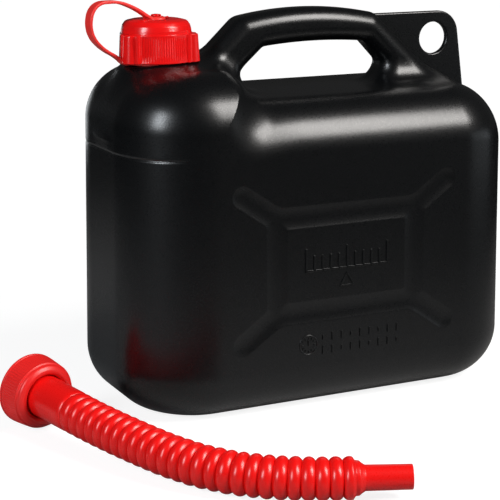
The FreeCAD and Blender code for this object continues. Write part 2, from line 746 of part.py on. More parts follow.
def flat_placements():
    """Each link's placement with the spout's centre line laid out in the plane z = 0."""
    here = Placement(SPOUT_START, Rotation(Vector(0, 0, 1), SPOUT_HEADING))
    places = [here]
    for distance, bend in spout_stations():
        here = here * Placement(Vector(distance, 0, 0), Rotation(Vector(0, 0, 1), bend))
        places.append(here)
    return places


def spout_placements():
    """Each link's placement as the spout lies: on its nut's edge and its bellows' ridges, on the ground.

    The nut is wider than the bellows, so the plane of the centre line slopes down from the nut."""
    places = flat_placements()
    fall = Rotation(Vector(0, 0, 1), SPOUT_FALL_HEADING).multVec(Vector(1, 0, 0))
    rest = places[0].multVec(Vector(NUT_STEP_START, 0, 0))
    slopes = []
    for link, place in enumerate(places[1:]):
        run = (place.Base - rest).dot(fall)
        slopes.append(math.asin((NUT_RADIUS - crest_radius(link)) / run))
    slope = min(slopes)
    tilt = Rotation(Vector(0, 0, 1).cross(fall), math.degrees(slope))
    laid = Placement(rest + Vector(0, 0, NUT_RADIUS), tilt) * Placement(-rest, Rotation())
    return [laid * place for place in places]


def placed(shape, placement):
    """A copy of a shape, moved to a placement."""
    moved = shape.copy()
    moved.Placement = placement * moved.Placement
    return moved


def save_spout():
    """Writes the spout's nut, seal, neck, bellows links and nozzle where they lie."""
    places = spout_placements()
    save(placed(spout_nut(), places[0]), "spout_nut")
    save(placed(spout_seal(), places[0]), "spout_seal")
    save(placed(spout_neck_solid(), places[0]), "spout_neck")
    for i in range(1, len(SPOUT_BENDS)):
        solid = spout_link_solid(i, SPOUT_BENDS[i - 1], SPOUT_BENDS[i])
        save(placed(solid, places[i]), "spout_bellows_" + str(i))
    last = len(SPOUT_BENDS)
    save(placed(spout_nozzle_solid(last, SPOUT_BENDS[-1]), places[last]), "spout_nozzle")


def save_can():
    """Writes the can, its cap with the seal, and the tether."""
    save(can_shell(), "can_shell")
    save(screw_cap(), "screw_cap")
    save(cap_gasket(), "cap_gasket")
    save(tether_collar(), "tether_collar")
    save(tether_strap(), "tether_strap")
    save(tether_eyelet(), "tether_eyelet")


if __name__ == "__main__":
    os.makedirs("parts", exist_ok=True)
    save_can()
    save_spout()
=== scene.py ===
"""Looks of a black blow-moulded jerry can with a tethered red screw cap and a loose red flexible spout.

Sizes in the classes are in millimetres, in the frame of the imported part: Z up, the can's underside at zero,
its neck towards -X and its hanging lug towards +X. Meshes are made in metres.
"""

from __future__ import annotations

import json
import logging
import math
from contextlib import contextmanager
from dataclasses import dataclass, field
from enum import Enum
from typing import Any, Callable, Iterator, Sequence

import bmesh
import bpy
import numpy as np
from mathutils import Matrix, Vector

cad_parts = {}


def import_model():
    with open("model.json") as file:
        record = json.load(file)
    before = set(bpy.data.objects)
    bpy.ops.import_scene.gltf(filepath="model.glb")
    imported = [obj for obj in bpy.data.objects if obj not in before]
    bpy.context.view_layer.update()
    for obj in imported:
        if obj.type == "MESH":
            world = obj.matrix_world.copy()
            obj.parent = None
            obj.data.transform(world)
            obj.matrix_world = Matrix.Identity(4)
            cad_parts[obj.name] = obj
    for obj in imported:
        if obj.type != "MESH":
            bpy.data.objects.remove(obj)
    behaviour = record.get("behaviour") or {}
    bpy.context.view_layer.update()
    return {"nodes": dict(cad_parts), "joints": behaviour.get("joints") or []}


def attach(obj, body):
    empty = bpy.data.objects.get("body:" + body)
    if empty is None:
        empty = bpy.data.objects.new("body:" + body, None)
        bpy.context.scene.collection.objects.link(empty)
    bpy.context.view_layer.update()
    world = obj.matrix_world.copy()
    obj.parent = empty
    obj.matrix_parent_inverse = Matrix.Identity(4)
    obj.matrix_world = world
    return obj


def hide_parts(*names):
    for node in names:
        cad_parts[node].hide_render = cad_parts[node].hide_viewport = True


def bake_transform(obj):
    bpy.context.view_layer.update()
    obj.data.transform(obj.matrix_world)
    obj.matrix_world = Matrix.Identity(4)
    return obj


LOG = logging.getLogger("jerry_can")
MM = 0.001
WHITE = (1.0, 1.0, 1.0, 1.0)
Field = Callable[[np.ndarray], np.ndarray]
Point = tuple[float, float]
Corner = tuple[float, float, float]
Shade = tuple[float, float, float]


class Body(str, Enum):
    """The moving bodies that pieces ride on."""

    CAN = "can"
    TETHER_END = "tether_end"
    CAP = "cap"
    SPOUT = "spout"
    NUT = "nut"
    NOZZLE = "nozzle"


class Slot(str, Enum):
    """The record's material slots."""

    CAN = "can_black"
    CAP = "cap_red"
    TETHER = "tether_red"
    NUT = "nut_red"
    SPOUT = "spout_red"


# Fields: each gives a distance to a solid's skin, below zero inside, in millimetres


def outer_round(a: np.ndarray, b: np.ndarray, radius: np.ndarray | float, cosine: float = 0.0) -> np.ndarray:
    """The space inside both a and b, with the edge between them rounded.

    Args:
        a: Distances to the first skin.
        b: Distances to the second skin.
        radius: Radius of the rounded edge.
        cosine: Cosine of the angle between the ways that the two skins face.

    Returns:
        Distances to the common space.
    """
    over_a, over_b = a + radius, b + radius
    between = (over_a > cosine * over_b) & (over_b > cosine * over_a)
    square = over_a**2 + over_b**2 - 2.0 * cosine * over_a * over_b
    rounded = np.sqrt(np.maximum(square, 0.0) / (1.0 - cosine**2)) - radius
    return np.where(between, rounded, np.maximum(a, b))


def inner_round(a: np.ndarray, b: np.ndarray, reach: np.ndarray | float) -> np.ndarray:
    """The space inside a or b, with the inner corner between them filled softly.

    Args:
        a: Distances to the first skin.
        b: Distances to the second skin.
        reach: How far from the corner the filling begins.

    Returns:
        Distances to the joined space.
    """
    share = np.clip(0.5 + 0.5 * (b - a) / reach, 0.0, 1.0)
    return b + (a - b) * share - reach * share * (1.0 - share)


def ramp(value: np.ndarray, low: float, high: float) -> np.ndarray:
    """A smooth climb from 0 at low to 1 at high."""
    t = np.clip((value - low) / (high - low), 0.0, 1.0)
    return t * t * (3.0 - 2.0 * t)


def beside_line(x: np.ndarray, z: np.ndarray, start: Point, end: Point) -> np.ndarray:
    """Distances from the line through two points; the left side of its direction is outside."""
    along_x, along_z = end[0] - start[0], end[1] - start[1]
    length = math.hypot(along_x, along_z)
    return ((z - start[1]) * along_x - (x - start[0]) * along_z) / length


def beside_arc(x: np.ndarray, z: np.ndarray, start: Point, crown: Point, end: Point) -> np.ndarray:
    """Distances outside the circle through three points."""
    (ax, az), (bx, bz), (cx, cz) = start, crown, end
    turn = 2.0 * (ax * (bz - cz) + bx * (cz - az) + cx * (az - bz))
    squares = [px * px + pz * pz for px, pz in (start, crown, end)]
    centre_x = (squares[0] * (bz - cz) + squares[1] * (cz - az) + squares[2] * (az - bz)) / turn
    centre_z = (squares[0] * (cx - bx) + squares[1] * (ax - cx) + squares[2] * (bx - ax)) / turn
    return np.hypot(x - centre_x, z - centre_z) - math.hypot(ax - centre_x, az - centre_z)


def to_bar(across: np.ndarray, up: np.ndarray, start: Point, end: Point) -> np.ndarray:
    """Distances from a straight piece of line between two points of a plane."""
    dx, dz = end[0] - start[0], end[1] - start[1]
    t = np.clip(((across - start[0]) * dx + (up - start[1]) * dz) / (dx * dx + dz * dz), 0.0, 1.0)
    return np.hypot(across - start[0] - t * dx, up - start[1] - t * dz)


# Meshes


def slopes(skin: Field, points: np.ndarray, step: float = 0.04) -> np.ndarray:
    """The field's gradient at points, by central differences."""
    gradient = np.empty_like(points)
    for axis in range(3):
        shift = np.zeros(3)
        shift[axis] = step
        gradient[:, axis] = (skin(points + shift) - skin(points - shift)) / (2.0 * step)
    return gradient


def drawn_to_skin(skin: Field, points: np.ndarray, rounds: int = 4) -> np.ndarray:
    """Moves points along the field's gradient on to the skin."""
    for _ in range(rounds):
        gradient = slopes(skin, points)
        steep = np.maximum((gradient**2).sum(axis=1), 1e-3)
        move = gradient * (skin(points) / steep)[:, None]
        reach = np.linalg.norm(move, axis=1, keepdims=True)
        points = points - move * np.minimum(1.0, 3.0 / np.maximum(reach, 1e-9))
    return points


def first_net(
    skin: Field, low: Sequence[float], high: Sequence[float], cell: float
) -> tuple[np.ndarray, np.ndarray]:
    """A coarse closed net of four-sided faces round the solid.

    Args:
        skin: The solid's field.
        low: Lowest corner of the space to search.
        high: Highest corner of the space to search.
        cell: Edge length of the grid.

    Returns:
        The net's points, and its faces as rows of four point numbers.
    """
    ticks = [np.arange(lo, hi + cell, cell) for lo, hi in zip(low, high)]
    grid = np.stack(np.meshgrid(*ticks, indexing="ij"), axis=-1)
    shape = grid.shape[:3]
    value = skin(grid.reshape(-1, 3)).reshape(shape)
    inside = value < 0.0
    cells = tuple(n - 1 for n in shape)
    total = np.zeros(cells + (3,))
    count = np.zeros(cells)
    corners = [(i, j, k) for i in (0, 1) for j in (0, 1) for k in (0, 1)]

    def corner(array: np.ndarray, at: tuple[int, int, int]) -> np.ndarray:
        """The array's values at one corner of every cell."""
        return array[tuple(slice(a, a + n) for a, n in zip(at, cells))]

    for start in corners:
        for axis in range(3):
            if start[axis]:
                continue
            end = tuple(1 if i == axis else s for i, s in enumerate(start))
            a, b = corner(value, start), corner(value, end)
            crossed = (a < 0.0) != (b < 0.0)
            share = np.where(crossed, a / np.where(crossed, a - b, 1.0), 0.0)
            point = corner(grid, start) + share[..., None] * (corner(grid, end) - corner(grid, start))
            total += np.where(crossed[..., None], point, 0.0)
            count += crossed
    used = count > 0
    number = np.full(cells, -1)
    number[used] = np.arange(int(used.sum()))
    points = total[used] / count[used][:, None]
    faces = []
    for axis in range(3):
        side_a, side_b = (axis + 1) % 3, (axis + 2) % 3
        here = [slice(1, n - 1) for n in shape]
        here[axis] = slice(0, shape[axis] - 1)
        there = list(here)
        there[axis] = slice(1, shape[axis])
        first, second = inside[tuple(here)], inside[tuple(there)]
        spots = np.argwhere(first != second) + np.array([0 if i == axis else 1 for i in range(3)])
        leaving = first[first != second]
        ring = []
        for back_a, back_b in ((1, 1), (0, 1), (0, 0), (1, 0)):
            shift = np.zeros(3, int)
            shift[side_a], shift[side_b] = back_a, back_b
            ring.append(number[tuple((spots - shift).T)])
        quads = np.stack(ring, axis=1)
        quads[~leaving] = quads[~leaving][:, ::-1]
        faces.append(quads)
    return points, np.concatenate(faces)


def read_points(mesh: bmesh.types.BMesh) -> np.ndarray:
    """The mesh's points as rows."""
    return np.array([v.co for v in mesh.verts], float)


def write_points(mesh: bmesh.types.BMesh, points: np.ndarray) -> None:
    """Puts the mesh's points at new places."""
    for vert, place in zip(mesh.verts, points):
        vert.co = place


def unit(rows: np.ndarray) -> np.ndarray:
    """Rows scaled to length one."""
    return rows / np.maximum(np.linalg.norm(rows, axis=-1, keepdims=True), 1e-12)


def refined(mesh: bmesh.types.BMesh, skin: Field, wanted: Field, bend: float, finest: float) -> None:
    """Splits the net's long edges until it follows the skin's bends and its fine detail.

    Args:
        mesh: The net, which is changed.
        skin: The solid's field.
        wanted: Gives the longest edge that each place may have.
        bend: The most that the skin may turn along one edge, in degrees.
        finest: No edge shorter than this is split.
    """
    limit = math.cos(math.radians(bend))
    for _ in range(5):
        bmesh.ops.triangulate(mesh, faces=mesh.faces[:])
        mesh.verts.index_update()
        points = read_points(mesh)
        normals = unit(slopes(skin, points))
        ends = np.array([[v.index for v in e.verts] for e in mesh.edges])
        length = np.linalg.norm(points[ends[:, 0]] - points[ends[:, 1]], axis=1)
        turned = (normals[ends[:, 0]] * normals[ends[:, 1]]).sum(axis=1) < limit
        longest = wanted((points[ends[:, 0]] + points[ends[:, 1]]) / 2.0)
        split = ((turned & (length > 2.0 * finest)) | (length > longest)) & (length > finest)
        if not split.any():
            break
        edges = [e for e, cut in zip(mesh.edges, split) if cut]
        known = len(mesh.verts)
        bmesh.ops.subdivide_edges(mesh, edges=edges, cuts=1)
        mesh.verts.ensure_lookup_table()
        points = read_points(mesh)
        points[known:] = drawn_to_skin(skin, points[known:], 3)
        write_points(mesh, points)
    bmesh.ops.triangulate(mesh, faces=mesh.faces[:])


def untwinned(mesh: bmesh.types.BMesh) -> None:
    """Takes out faces that lie back to back on the same points, which splitting can leave behind."""
    stacks: dict[frozenset[int], list[bmesh.types.BMFace]] = {}
    mesh.verts.index_update()
    for face in mesh.faces:
        stacks.setdefault(frozenset(vert.index for vert in face.verts), []).append(face)
    twins = [face for stack in stacks.values() for face in stack[: len(stack) // 2 * 2]]
    bmesh.ops.delete(mesh, geom=twins, context="FACES")


def eased(mesh: bmesh.types.BMesh, skin: Field, rounds: int) -> None:
    """Evens out the net by moving each point towards its neighbours, and back on to the skin."""
    for _ in range(rounds):
        bmesh.ops.smooth_vert(
            mesh, verts=mesh.verts[:], factor=0.5, use_axis_x=True, use_axis_y=True, use_axis_z=True
        )
        write_points(mesh, drawn_to_skin(skin, read_points(mesh), 2))


def moulded(
    name: str,
    skin: Field,
    low: Sequence[float],
    high: Sequence[float],
    cell: float,
    wanted: Field,
    bend: float = 8.0,
    finest: float = 0.55,
) -> bpy.types.Object:
    """A piece whose whole surface is one moulded skin.

    Args:
        name: The piece's name.
        skin: The solid's field, in millimetres.
        low: Lowest corner of the space that holds it.
        high: Highest corner of the space that holds it.
        cell: Grid size of its first net.
        wanted: Longest edge allowed at each place.
        bend: The most that the skin may turn along one edge, in degrees.
        finest: Shortest edge that is still split.

    Returns:
        The new object, shaded with the skin's own normals.
    """
    points, faces = first_net(skin, low, high, cell)
    net = bpy.data.meshes.new(name)
    net.from_pydata(points.tolist(), [], faces.tolist())
    mesh = bmesh.new()
    mesh.from_mesh(net)
    write_points(mesh, drawn_to_skin(skin, read_points(mesh)))
    eased(mesh, skin, 4)
    refined(mesh, skin, wanted, bend, finest)
    untwinned(mesh)
    points = read_points(mesh)
    normals = unit(slopes(skin, points, 0.02))
    bmesh.ops.scale(mesh, vec=(MM, MM, MM), verts=mesh.verts[:])
    mesh.to_mesh(net)
    mesh.free()
    net.shade_smooth()
    net.normals_split_custom_set_from_vertices(normals.tolist())
    piece = bpy.data.objects.new(name, net)
    bpy.context.scene.collection.objects.link(piece)
    return piece


# Modelling by hand


def deselect() -> None:
    """Deselects every object."""
    bpy.ops.object.select_all(action="DESELECT")


def pick(piece: bpy.types.Object) -> None:
    """Selects one object alone and makes it the active one."""
    deselect()
    piece.select_set(True)
    bpy.context.view_layer.objects.active = piece


@contextmanager
def editing(piece: bpy.types.Object) -> Iterator[None]:
    """Opens a piece in edit mode with all of it selected, and closes it again."""
    pick(piece)
    bpy.ops.object.mode_set(mode="EDIT")
    bpy.ops.mesh.select_all(action="SELECT")
    yield
    bpy.ops.object.mode_set(mode="OBJECT")


def eased_outline(corners: Sequence[Corner], step: float = 15.0) -> list[Point]:
    """Rounds the corners of a closed outline.

    Args:
        corners: Each corner as (radius, height, radius of its rounding).
        step: The most that one side of a rounding turns, in degrees.

    Returns:
        The outline's points as (radius, height).
    """
    points: list[Point] = []
    for i, (radius, height, rounding) in enumerate(corners):
        here = Vector((radius, height))
        before = Vector(corners[i - 1][:2]) - here
        after = Vector(corners[(i + 1) % len(corners)][:2]) - here
        half = before.angle(after) / 2.0 if rounding > 0.0 else 0.0
        if rounding <= 0.0 or half > math.radians(89.0):
            points.append((radius, height))
            continue
        cut = min(rounding / math.tan(half), 0.48 * before.length, 0.48 * after.length)
        arc = cut * math.tan(half)
        middle = here + (before.normalized() + after.normalized()).normalized() * (arc / math.sin(half))
        start = here + before.normalized() * cut - middle
        end = here + after.normalized() * cut - middle
        turn = math.atan2(start.x * end.y - start.y * end.x, start.dot(end))
        count = max(2, math.ceil(abs(math.degrees(turn)) / step))
        for k in range(count + 1):
            angle = turn * k / count
            spoke = Matrix.Rotation(angle, 2) @ start
            points.append(tuple(middle + spoke))
    return points


def turned(name: str, outline: Sequence[Point], steps: int) -> bpy.types.Object:
    """Turns a closed outline about the Z axis.

    Args:
        name: The new piece's name.
        outline: The outline's points as (radius, height) in millimetres. It may touch the axis.
        steps: How many steps a full turn has.

    Returns:
        The new piece, a closed mesh.
    """
    deselect()
    bpy.ops.mesh.primitive_circle_add(vertices=len(outline), radius=MM)
    piece = bpy.context.object
    piece.name = piece.data.name = name
    for vert, (radius, height) in zip(piece.data.vertices, outline):
        vert.co = (max(radius, 0.0) * MM, 0.0, height * MM)
    with editing(piece):
        bpy.ops.mesh.spin(steps=steps, angle=2.0 * math.pi, center=(0.0, 0.0, 0.0), axis=(0.0, 0.0, 1.0))
        bpy.ops.mesh.select_all(action="SELECT")
        bpy.ops.mesh.remove_doubles(threshold=0.002 * MM)
        bpy.ops.mesh.delete_loose(use_verts=True, use_edges=True, use_faces=False)
        bpy.ops.mesh.select_all(action="SELECT")
        bpy.ops.mesh.normals_make_consistent(inside=False)
    return piece


def reshaped(piece: bpy.types.Object, move: Field) -> None:
    """Moves all of a piece's points.

    Args:
        piece: The piece.
        move: Gives the points' new places from their old ones, in millimetres.
    """
    points = np.empty(len(piece.data.vertices) * 3)
    piece.data.vertices.foreach_get("co", points)
    points = move(points.reshape(-1, 3) / MM) * MM
    piece.data.vertices.foreach_set("co", points.ravel())
    piece.data.update()


def shaded(piece: bpy.types.Object, angle: float = 40.0) -> None:
    """Shades a piece smooth, with edges over the angle kept sharp and its flats kept even."""
    pick(piece)
    bpy.ops.object.shade_smooth_by_angle(angle=math.radians(angle))
    even = piece.modifiers.new("even_flats", "WEIGHTED_NORMAL")
    even.keep_sharp = True
    bpy.ops.object.modifier_apply(modifier=even.name)


def joined(pieces: Sequence[bpy.types.Object]) -> bpy.types.Object:
    """Joins pieces into the first of them."""
    pick(pieces[0])
    for piece in pieces[1:]:
        piece.select_set(True)
    if len(pieces) > 1:
        bpy.ops.object.join()
    return pieces[0]


def bar(size: Corner, place: Corner, heading: float, edge: float) -> bpy.types.Object:
    """A small block with rounded edges.

    Args:
        size: Its length, width and height in millimetres.
        place: Its middle.
        heading: How far it is turned about the Z axis, in degrees.
        edge: Radius of its edges.

    Returns:
        The block.
    """
    deselect()
    bpy.ops.mesh.primitive_cube_add(size=MM)
    block = bpy.context.object
    with editing(block):
        bpy.ops.transform.resize(value=size)
        if edge > 0.0:
            bpy.ops.mesh.bevel(offset=edge * MM, segments=2, affect="EDGES")
    turn = Matrix.Translation(Vector(place) * MM) @ Matrix.Rotation(math.radians(heading), 4, "Z")
    block.data.transform(turn)
    return block


def dressed(piece: bpy.types.Object, finish: bpy.types.Material) -> None:
    """Gives a piece its material all over."""
    piece.data.materials.clear()
    piece.data.materials.append(finish)


def set_on(
    piece: bpy.types.Object, finish: bpy.types.Material, body: Body, slot: Slot, *nodes: str
) -> None:
    """Gives a piece its material and lets it ride on a body, in place of plain nodes."""
    dressed(piece, finish)
    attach(piece, body.value)
    if nodes:
        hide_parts(*nodes)
    LOG.info("%s: %d faces", piece.name, len(piece.data.polygons))


@dataclass(frozen=True)
class Thread:
    """A screw thread that is raised from a plain round surface about the Z axis."""

    radius: float
    start: float
    turns: float
    rise: float
    stretch: Point
    pitch: float = 6.0
    crest: float = 1.2
    root: float = 2.6
    run_out: float = 0.06
    reach: float = 0.1

    def raised(self, at: np.ndarray, away: np.ndarray) -> np.ndarray:
        """How far the thread moves each place from the axis.

        Args:
            at: Places about the axis.
            away: Their distances from the axis.

        Returns:
            A distance for each place, nothing off the thread's own surface.
        """
        round_share = np.mod(np.arctan2(at[:, 1], at[:, 0]) / (2.0 * math.pi), 1.0)
        share = np.zeros(len(at))
        for turn in range(math.ceil(self.turns)):
            along = round_share + turn
            off = np.abs(at[:, 2] - self.start - self.pitch * along)
            there = ramp(along, 0.0, self.run_out)
            there *= 1.0 - ramp(along, self.turns - self.run_out, self.turns)
            share = np.maximum(share, there * (1.0 - ramp(off, self.crest / 2.0, self.root / 2.0)))
        low, high = self.stretch
        share[(np.abs(away - self.radius) > self.reach) | (at[:, 2] < low) | (at[:, 2] > high)] = 0.0
        return self.rise * share


def widened(at: np.ndarray, away: np.ndarray, change: np.ndarray) -> np.ndarray:
    """Moves points away from the Z axis by a distance each."""
    grown = 1.0 + change / away
    return at * np.stack([grown, grown, np.ones(len(at))], axis=1)


@dataclass
class JerryCan:
    """The can: one blow-moulded skin with its handle, and the channels sunk into both flats."""

    length: float = 322.0
    depth: float = 169.0
    corners: Point = (62.0, 58.0)
    lean: float = 0.0147
    base_edge: float = 36.0
    base_corner_edge: float = 40.0
    saddle_top: float = 231.0
    saddle_side_edge: float = 36.0
    saddle_end_edge: float = 44.0
    shoulder_top: float = 252.0
    shoulder_edge: float = 40.0
    slope_start: Point = (-73.0, 252.0)
    slope_angle: float = 62.0
    handle_width: float = 30.0
    handle_edge: float = 11.0
    kink: float = 14.0
    handle_blend: float = 20.0
    grip_edge: float = 8.0
    left_foot: Point = (-96.0, 243.0)
    top_left: Point = (-50.5, 285.5)
    crown: Point = (8.0, 291.0)
    top_right: Point = (64.5, 285.0)
    right_foot: Point = (128.0, 227.0)
    grip_left_foot: Point = (-52.0, 226.0)
    grip_left_knee: Point = (-51.5, 245.0)
    grip_top_left: Point = (-31.0, 263.0)
    grip_crown: Point = (9.0, 265.5)
    grip_top_right: Point = (56.5, 263.5)
    grip_right_knee: Point = (72.5, 247.0)
    grip_right_foot: Point = (71.0, 226.0)
    neck_x: float = -114.0
    neck_seat: float = 20.4
    bore_floor: float = 214.0
    boss_radius: float = 26.0
    boss_foot: float = 205.0
    boss_blend: float = 16.0
    channel_centre: Point = (0.5, 112.8)
    channel_frame: Point = (57.5, 35.5)
    channel_ends: Point = (84.5, 54.0)
    channel_width: float = 16.5
    channel_depth: float = 1.05
    channel_edge: float = 1.2
    groove_height: float = 194.5
    groove_depth: float = 0.7
    groove_half: float = 0.9
    ridge_edges: Point = (7.0, 16.0)
    ridge_reach: Point = (20.0, 84.0)
    saddle_blend: float = 14.0
    end_reach: Point = (58.0, 6.0)
    corner_reach: Point = (66.0, 12.0)
    neck_reach: Point = (-6.0, 40.0)
    net_cell: float = 4.0
    net_margin: Point = (6.0, 9.0)
    net_levels: Point = (-6.0, 298.0)

    def wall(self, at: np.ndarray) -> np.ndarray:
        """Distances to the wall all round: a rounded rectangle seen from above, leaning in a little."""
        corner = np.where(at[:, 0] < 0.0, *self.corners)
        out_x = np.abs(at[:, 0]) - self.length / 2 + corner
        out_y = np.abs(at[:, 1]) - self.depth / 2 + corner
        outside = np.hypot(np.maximum(out_x, 0.0), np.maximum(out_y, 0.0))
        inside = np.minimum(np.maximum(out_x, out_y), 0.0)
        return outside + inside - corner + self.lean * at[:, 2]

    def roof(self, at: np.ndarray) -> np.ndarray:
        """Distances to the top: the high shoulder at the neck, its slope and the low saddle."""
        angle = math.radians(self.slope_angle)
        run, rise = math.sin(angle), math.cos(angle)
        slope = (at[:, 0] - self.slope_start[0]) * run + (at[:, 2] - self.slope_start[1]) * rise
        middle, side = self.ridge_edges
        ridge = middle + (side - middle) * ramp(np.abs(at[:, 1]), *self.ridge_reach)
        shoulder = outer_round(slope, at[:, 2] - self.shoulder_top, ridge)
        return inner_round(at[:, 2] - self.saddle_top, shoulder, self.saddle_blend)

    def near_side(self, across: np.ndarray, size: float, reach: Point) -> np.ndarray:
        """A climb from 0 to 1 towards both sides of the can, between two distances from a side."""
        return ramp(np.abs(across), size / 2 - reach[0], size / 2 - reach[1])

    def tank(self, at: np.ndarray) -> np.ndarray:
        """Distances to the tank without handle, channels or neck."""
        toward_end = self.near_side(at[:, 0], self.length, self.end_reach)
        saddle_edge = self.saddle_side_edge + (self.saddle_end_edge - self.saddle_side_edge) * toward_end
        toward_neck = 1.0 - ramp(at[:, 0] - self.slope_start[0], *self.neck_reach)
        edge = saddle_edge + (self.shoulder_edge - saddle_edge) * toward_neck
        body = outer_round(self.wall(at), self.roof(at), edge)
        in_corner = self.near_side(at[:, 0], self.length, self.corner_reach)
        in_corner *= self.near_side(at[:, 1], self.depth, self.corner_reach)
        base_edge = self.base_edge + (self.base_corner_edge - self.base_edge) * in_corner
        return outer_round(body, -at[:, 2], base_edge)

    def grip_opening(self, x: np.ndarray, z: np.ndarray) -> np.ndarray:
        """Distances to the space that the fingers go through, seen from the side."""
        left = beside_line(x, z, self.grip_left_foot, self.grip_left_knee)
        left_slant = beside_line(x, z, self.grip_left_knee, self.grip_top_left)
        top = beside_arc(x, z, self.grip_top_left, self.grip_crown, self.grip_top_right)
        right_slant = beside_line(x, z, self.grip_top_right, self.grip_right_knee)
        right = beside_line(x, z, self.grip_right_knee, self.grip_right_foot)
        space = outer_round(left, left_slant, self.grip_edge, 0.68)
        space = outer_round(space, top, self.grip_edge, 0.83)
        space = outer_round(space, right_slant, self.grip_edge, 0.78)
        return outer_round(space, right, self.grip_edge, 0.72)

    def handle(self, at: np.ndarray) -> np.ndarray:
        """Distances to the bar of the handle and its two legs."""
        x, z = at[:, 0], at[:, 2]
        top = beside_arc(x, z, self.top_left, self.crown, self.top_right)
        profile = outer_round(top, beside_line(x, z, self.left_foot, self.top_left), self.kink, 0.844)
        profile = outer_round(profile, beside_line(x, z, self.top_right, self.right_foot), self.kink, 0.863)
        profile = np.maximum(profile, -self.grip_opening(x, z))
        profile = np.maximum(profile, self.grip_left_foot[1] - 10.0 - z)
        return outer_round(profile, np.abs(at[:, 1]) - self.handle_width / 2, self.handle_edge)

    def channels(self, at: np.ndarray) -> np.ndarray:
        """Distances to the round bars that press the channels into both flats: a frame with four arms."""
        x = np.abs(at[:, 0] - self.channel_centre[0])
        z = np.abs(at[:, 2] - self.channel_centre[1])
        corner = self.channel_frame
        level, upright = to_bar(x, z, (0.0, corner[1]), corner), to_bar(x, z, (corner[0], 0.0), corner)
        line = inner_round(level, upright, 2.0)
        line = np.maximum(inner_round(line, to_bar(x, z, corner, self.channel_ends), 2.0), 0.0)
        radius = ((self.channel_width / 2) ** 2 + self.channel_depth**2) / (2 * self.channel_depth)
        off_wall = np.abs(at[:, 1]) - self.depth / 2 + self.lean * at[:, 2]
        return np.hypot(line, off_wall + self.channel_depth - radius) - radius

    def grooves(self, at: np.ndarray) -> np.ndarray:
        """How deep the groove round the neck end lies at each place."""
        near_end = (1.0 - ramp(at[:, 0], -128.0, -104.0)) * (1.0 - ramp(-at[:, 1], 62.0, 82.0))
        off = (at[:, 2] - self.groove_height) / self.groove_half
        groove = self.groove_depth * np.exp(-(off**2))
        return groove * near_end

    def boss(self, at: np.ndarray) -> np.ndarray:
        """Distances to the raised round seat of the neck."""
        off_axis = np.hypot(at[:, 0] - self.neck_x, at[:, 1])
        boss = outer_round(off_axis - self.boss_radius, at[:, 2] - self.shoulder_top, 3.0)
        return np.maximum(boss, self.boss_foot - at[:, 2])

    def skin(self, at: np.ndarray) -> np.ndarray:
        """Distances to the whole can."""
        body = outer_round(self.tank(at), -self.channels(at), self.channel_edge, 0.91)
        body = inner_round(body, self.handle(at), self.handle_blend)
        body = inner_round(body, self.boss(at), self.boss_blend)
        body = body + self.grooves(at)
        off_axis = np.hypot(at[:, 0] - self.neck_x, at[:, 1])
        bore = outer_round(off_axis - self.neck_seat, self.bore_floor - at[:, 2], 8.0)
        return np.maximum(body, -bore)

    def fineness(self, at: np.ndarray) -> np.ndarray:
        """Longest edge wanted at each place: short along the groove and the channels."""
        longest = np.full(len(at), 6.0)
        flat = (np.abs(at[:, 1]) > self.depth / 2 - 7.0) & (self.channels(at) < 2.0)
        longest[flat] = 2.6
        on_groove = (np.abs(at[:, 2] - self.groove_height) < 2.0) & (at[:, 0] < -100.0)
        longest[on_groove] = 1.4
        return longest

    def build(self, finish: bpy.types.Material) -> None:
        """Makes the can, shown in place of its plain solid."""
        half_x, half_y = self.length / 2 + self.net_margin[0], self.depth / 2 + self.net_margin[1]
        under, over = self.net_levels
        low, high = (-half_x, -half_y, under), (half_x, half_y, over)
        can = moulded("can", self.skin, low, high, self.net_cell, self.fineness, 6.0)
        set_on(can, finish, Body.CAN, Slot.CAN, "can_shell")


@dataclass
class Lug:
    """The flat plate behind the handle, with its hole for hanging the can up."""

    thickness: float = 5.0
    top: float = 283.5
    right: Point = (142.0, 283.5)
    foot: Point = (154.0, 200.0)
    left_top: Point = (62.5, 283.5)
    left_foot: Point = (84.0, 246.0)
    floor: float = 212.0
    corner: float = 18.0
    edge: float = 1.3
    hole: Point = (121.6, 262.6)
    hole_radius: float = 12.4

    def skin(self, at: np.ndarray) -> np.ndarray:
        """Distances to the plate with its hole."""
        x, z = at[:, 0], at[:, 2]
        plate = outer_round(beside_line(x, z, self.right, self.foot), z - self.top, self.corner, 0.12)
        plate = np.maximum(plate, beside_line(x, z, self.left_foot, self.left_top))
        under_knee = np.maximum(self.left_foot[0] - x, self.floor - z)
        plate = np.maximum(plate, under_knee - 24.0 * (z > self.left_foot[1]))
        plate = np.maximum(plate, self.floor - z)
        plate = np.maximum(plate, self.hole_radius - np.hypot(x - self.hole[0], z - self.hole[1]))
        return outer_round(plate, np.abs(at[:, 1]) - self.thickness / 2, self.edge)

    def build(self, finish: bpy.types.Material) -> None:
        """Makes the lug, whose foot ends inside the can's skin."""
        half = self.thickness / 2 + 2.7
        low, high = (58.3, -half, self.floor - 2.3), (160.0, half, self.top + 3.4)
        lug = moulded("can_lug", self.skin, low, high, 1.3, lambda at: np.full(len(at), 5.0), 12.0)
        set_on(lug, finish, Body.CAN, Slot.CAN)


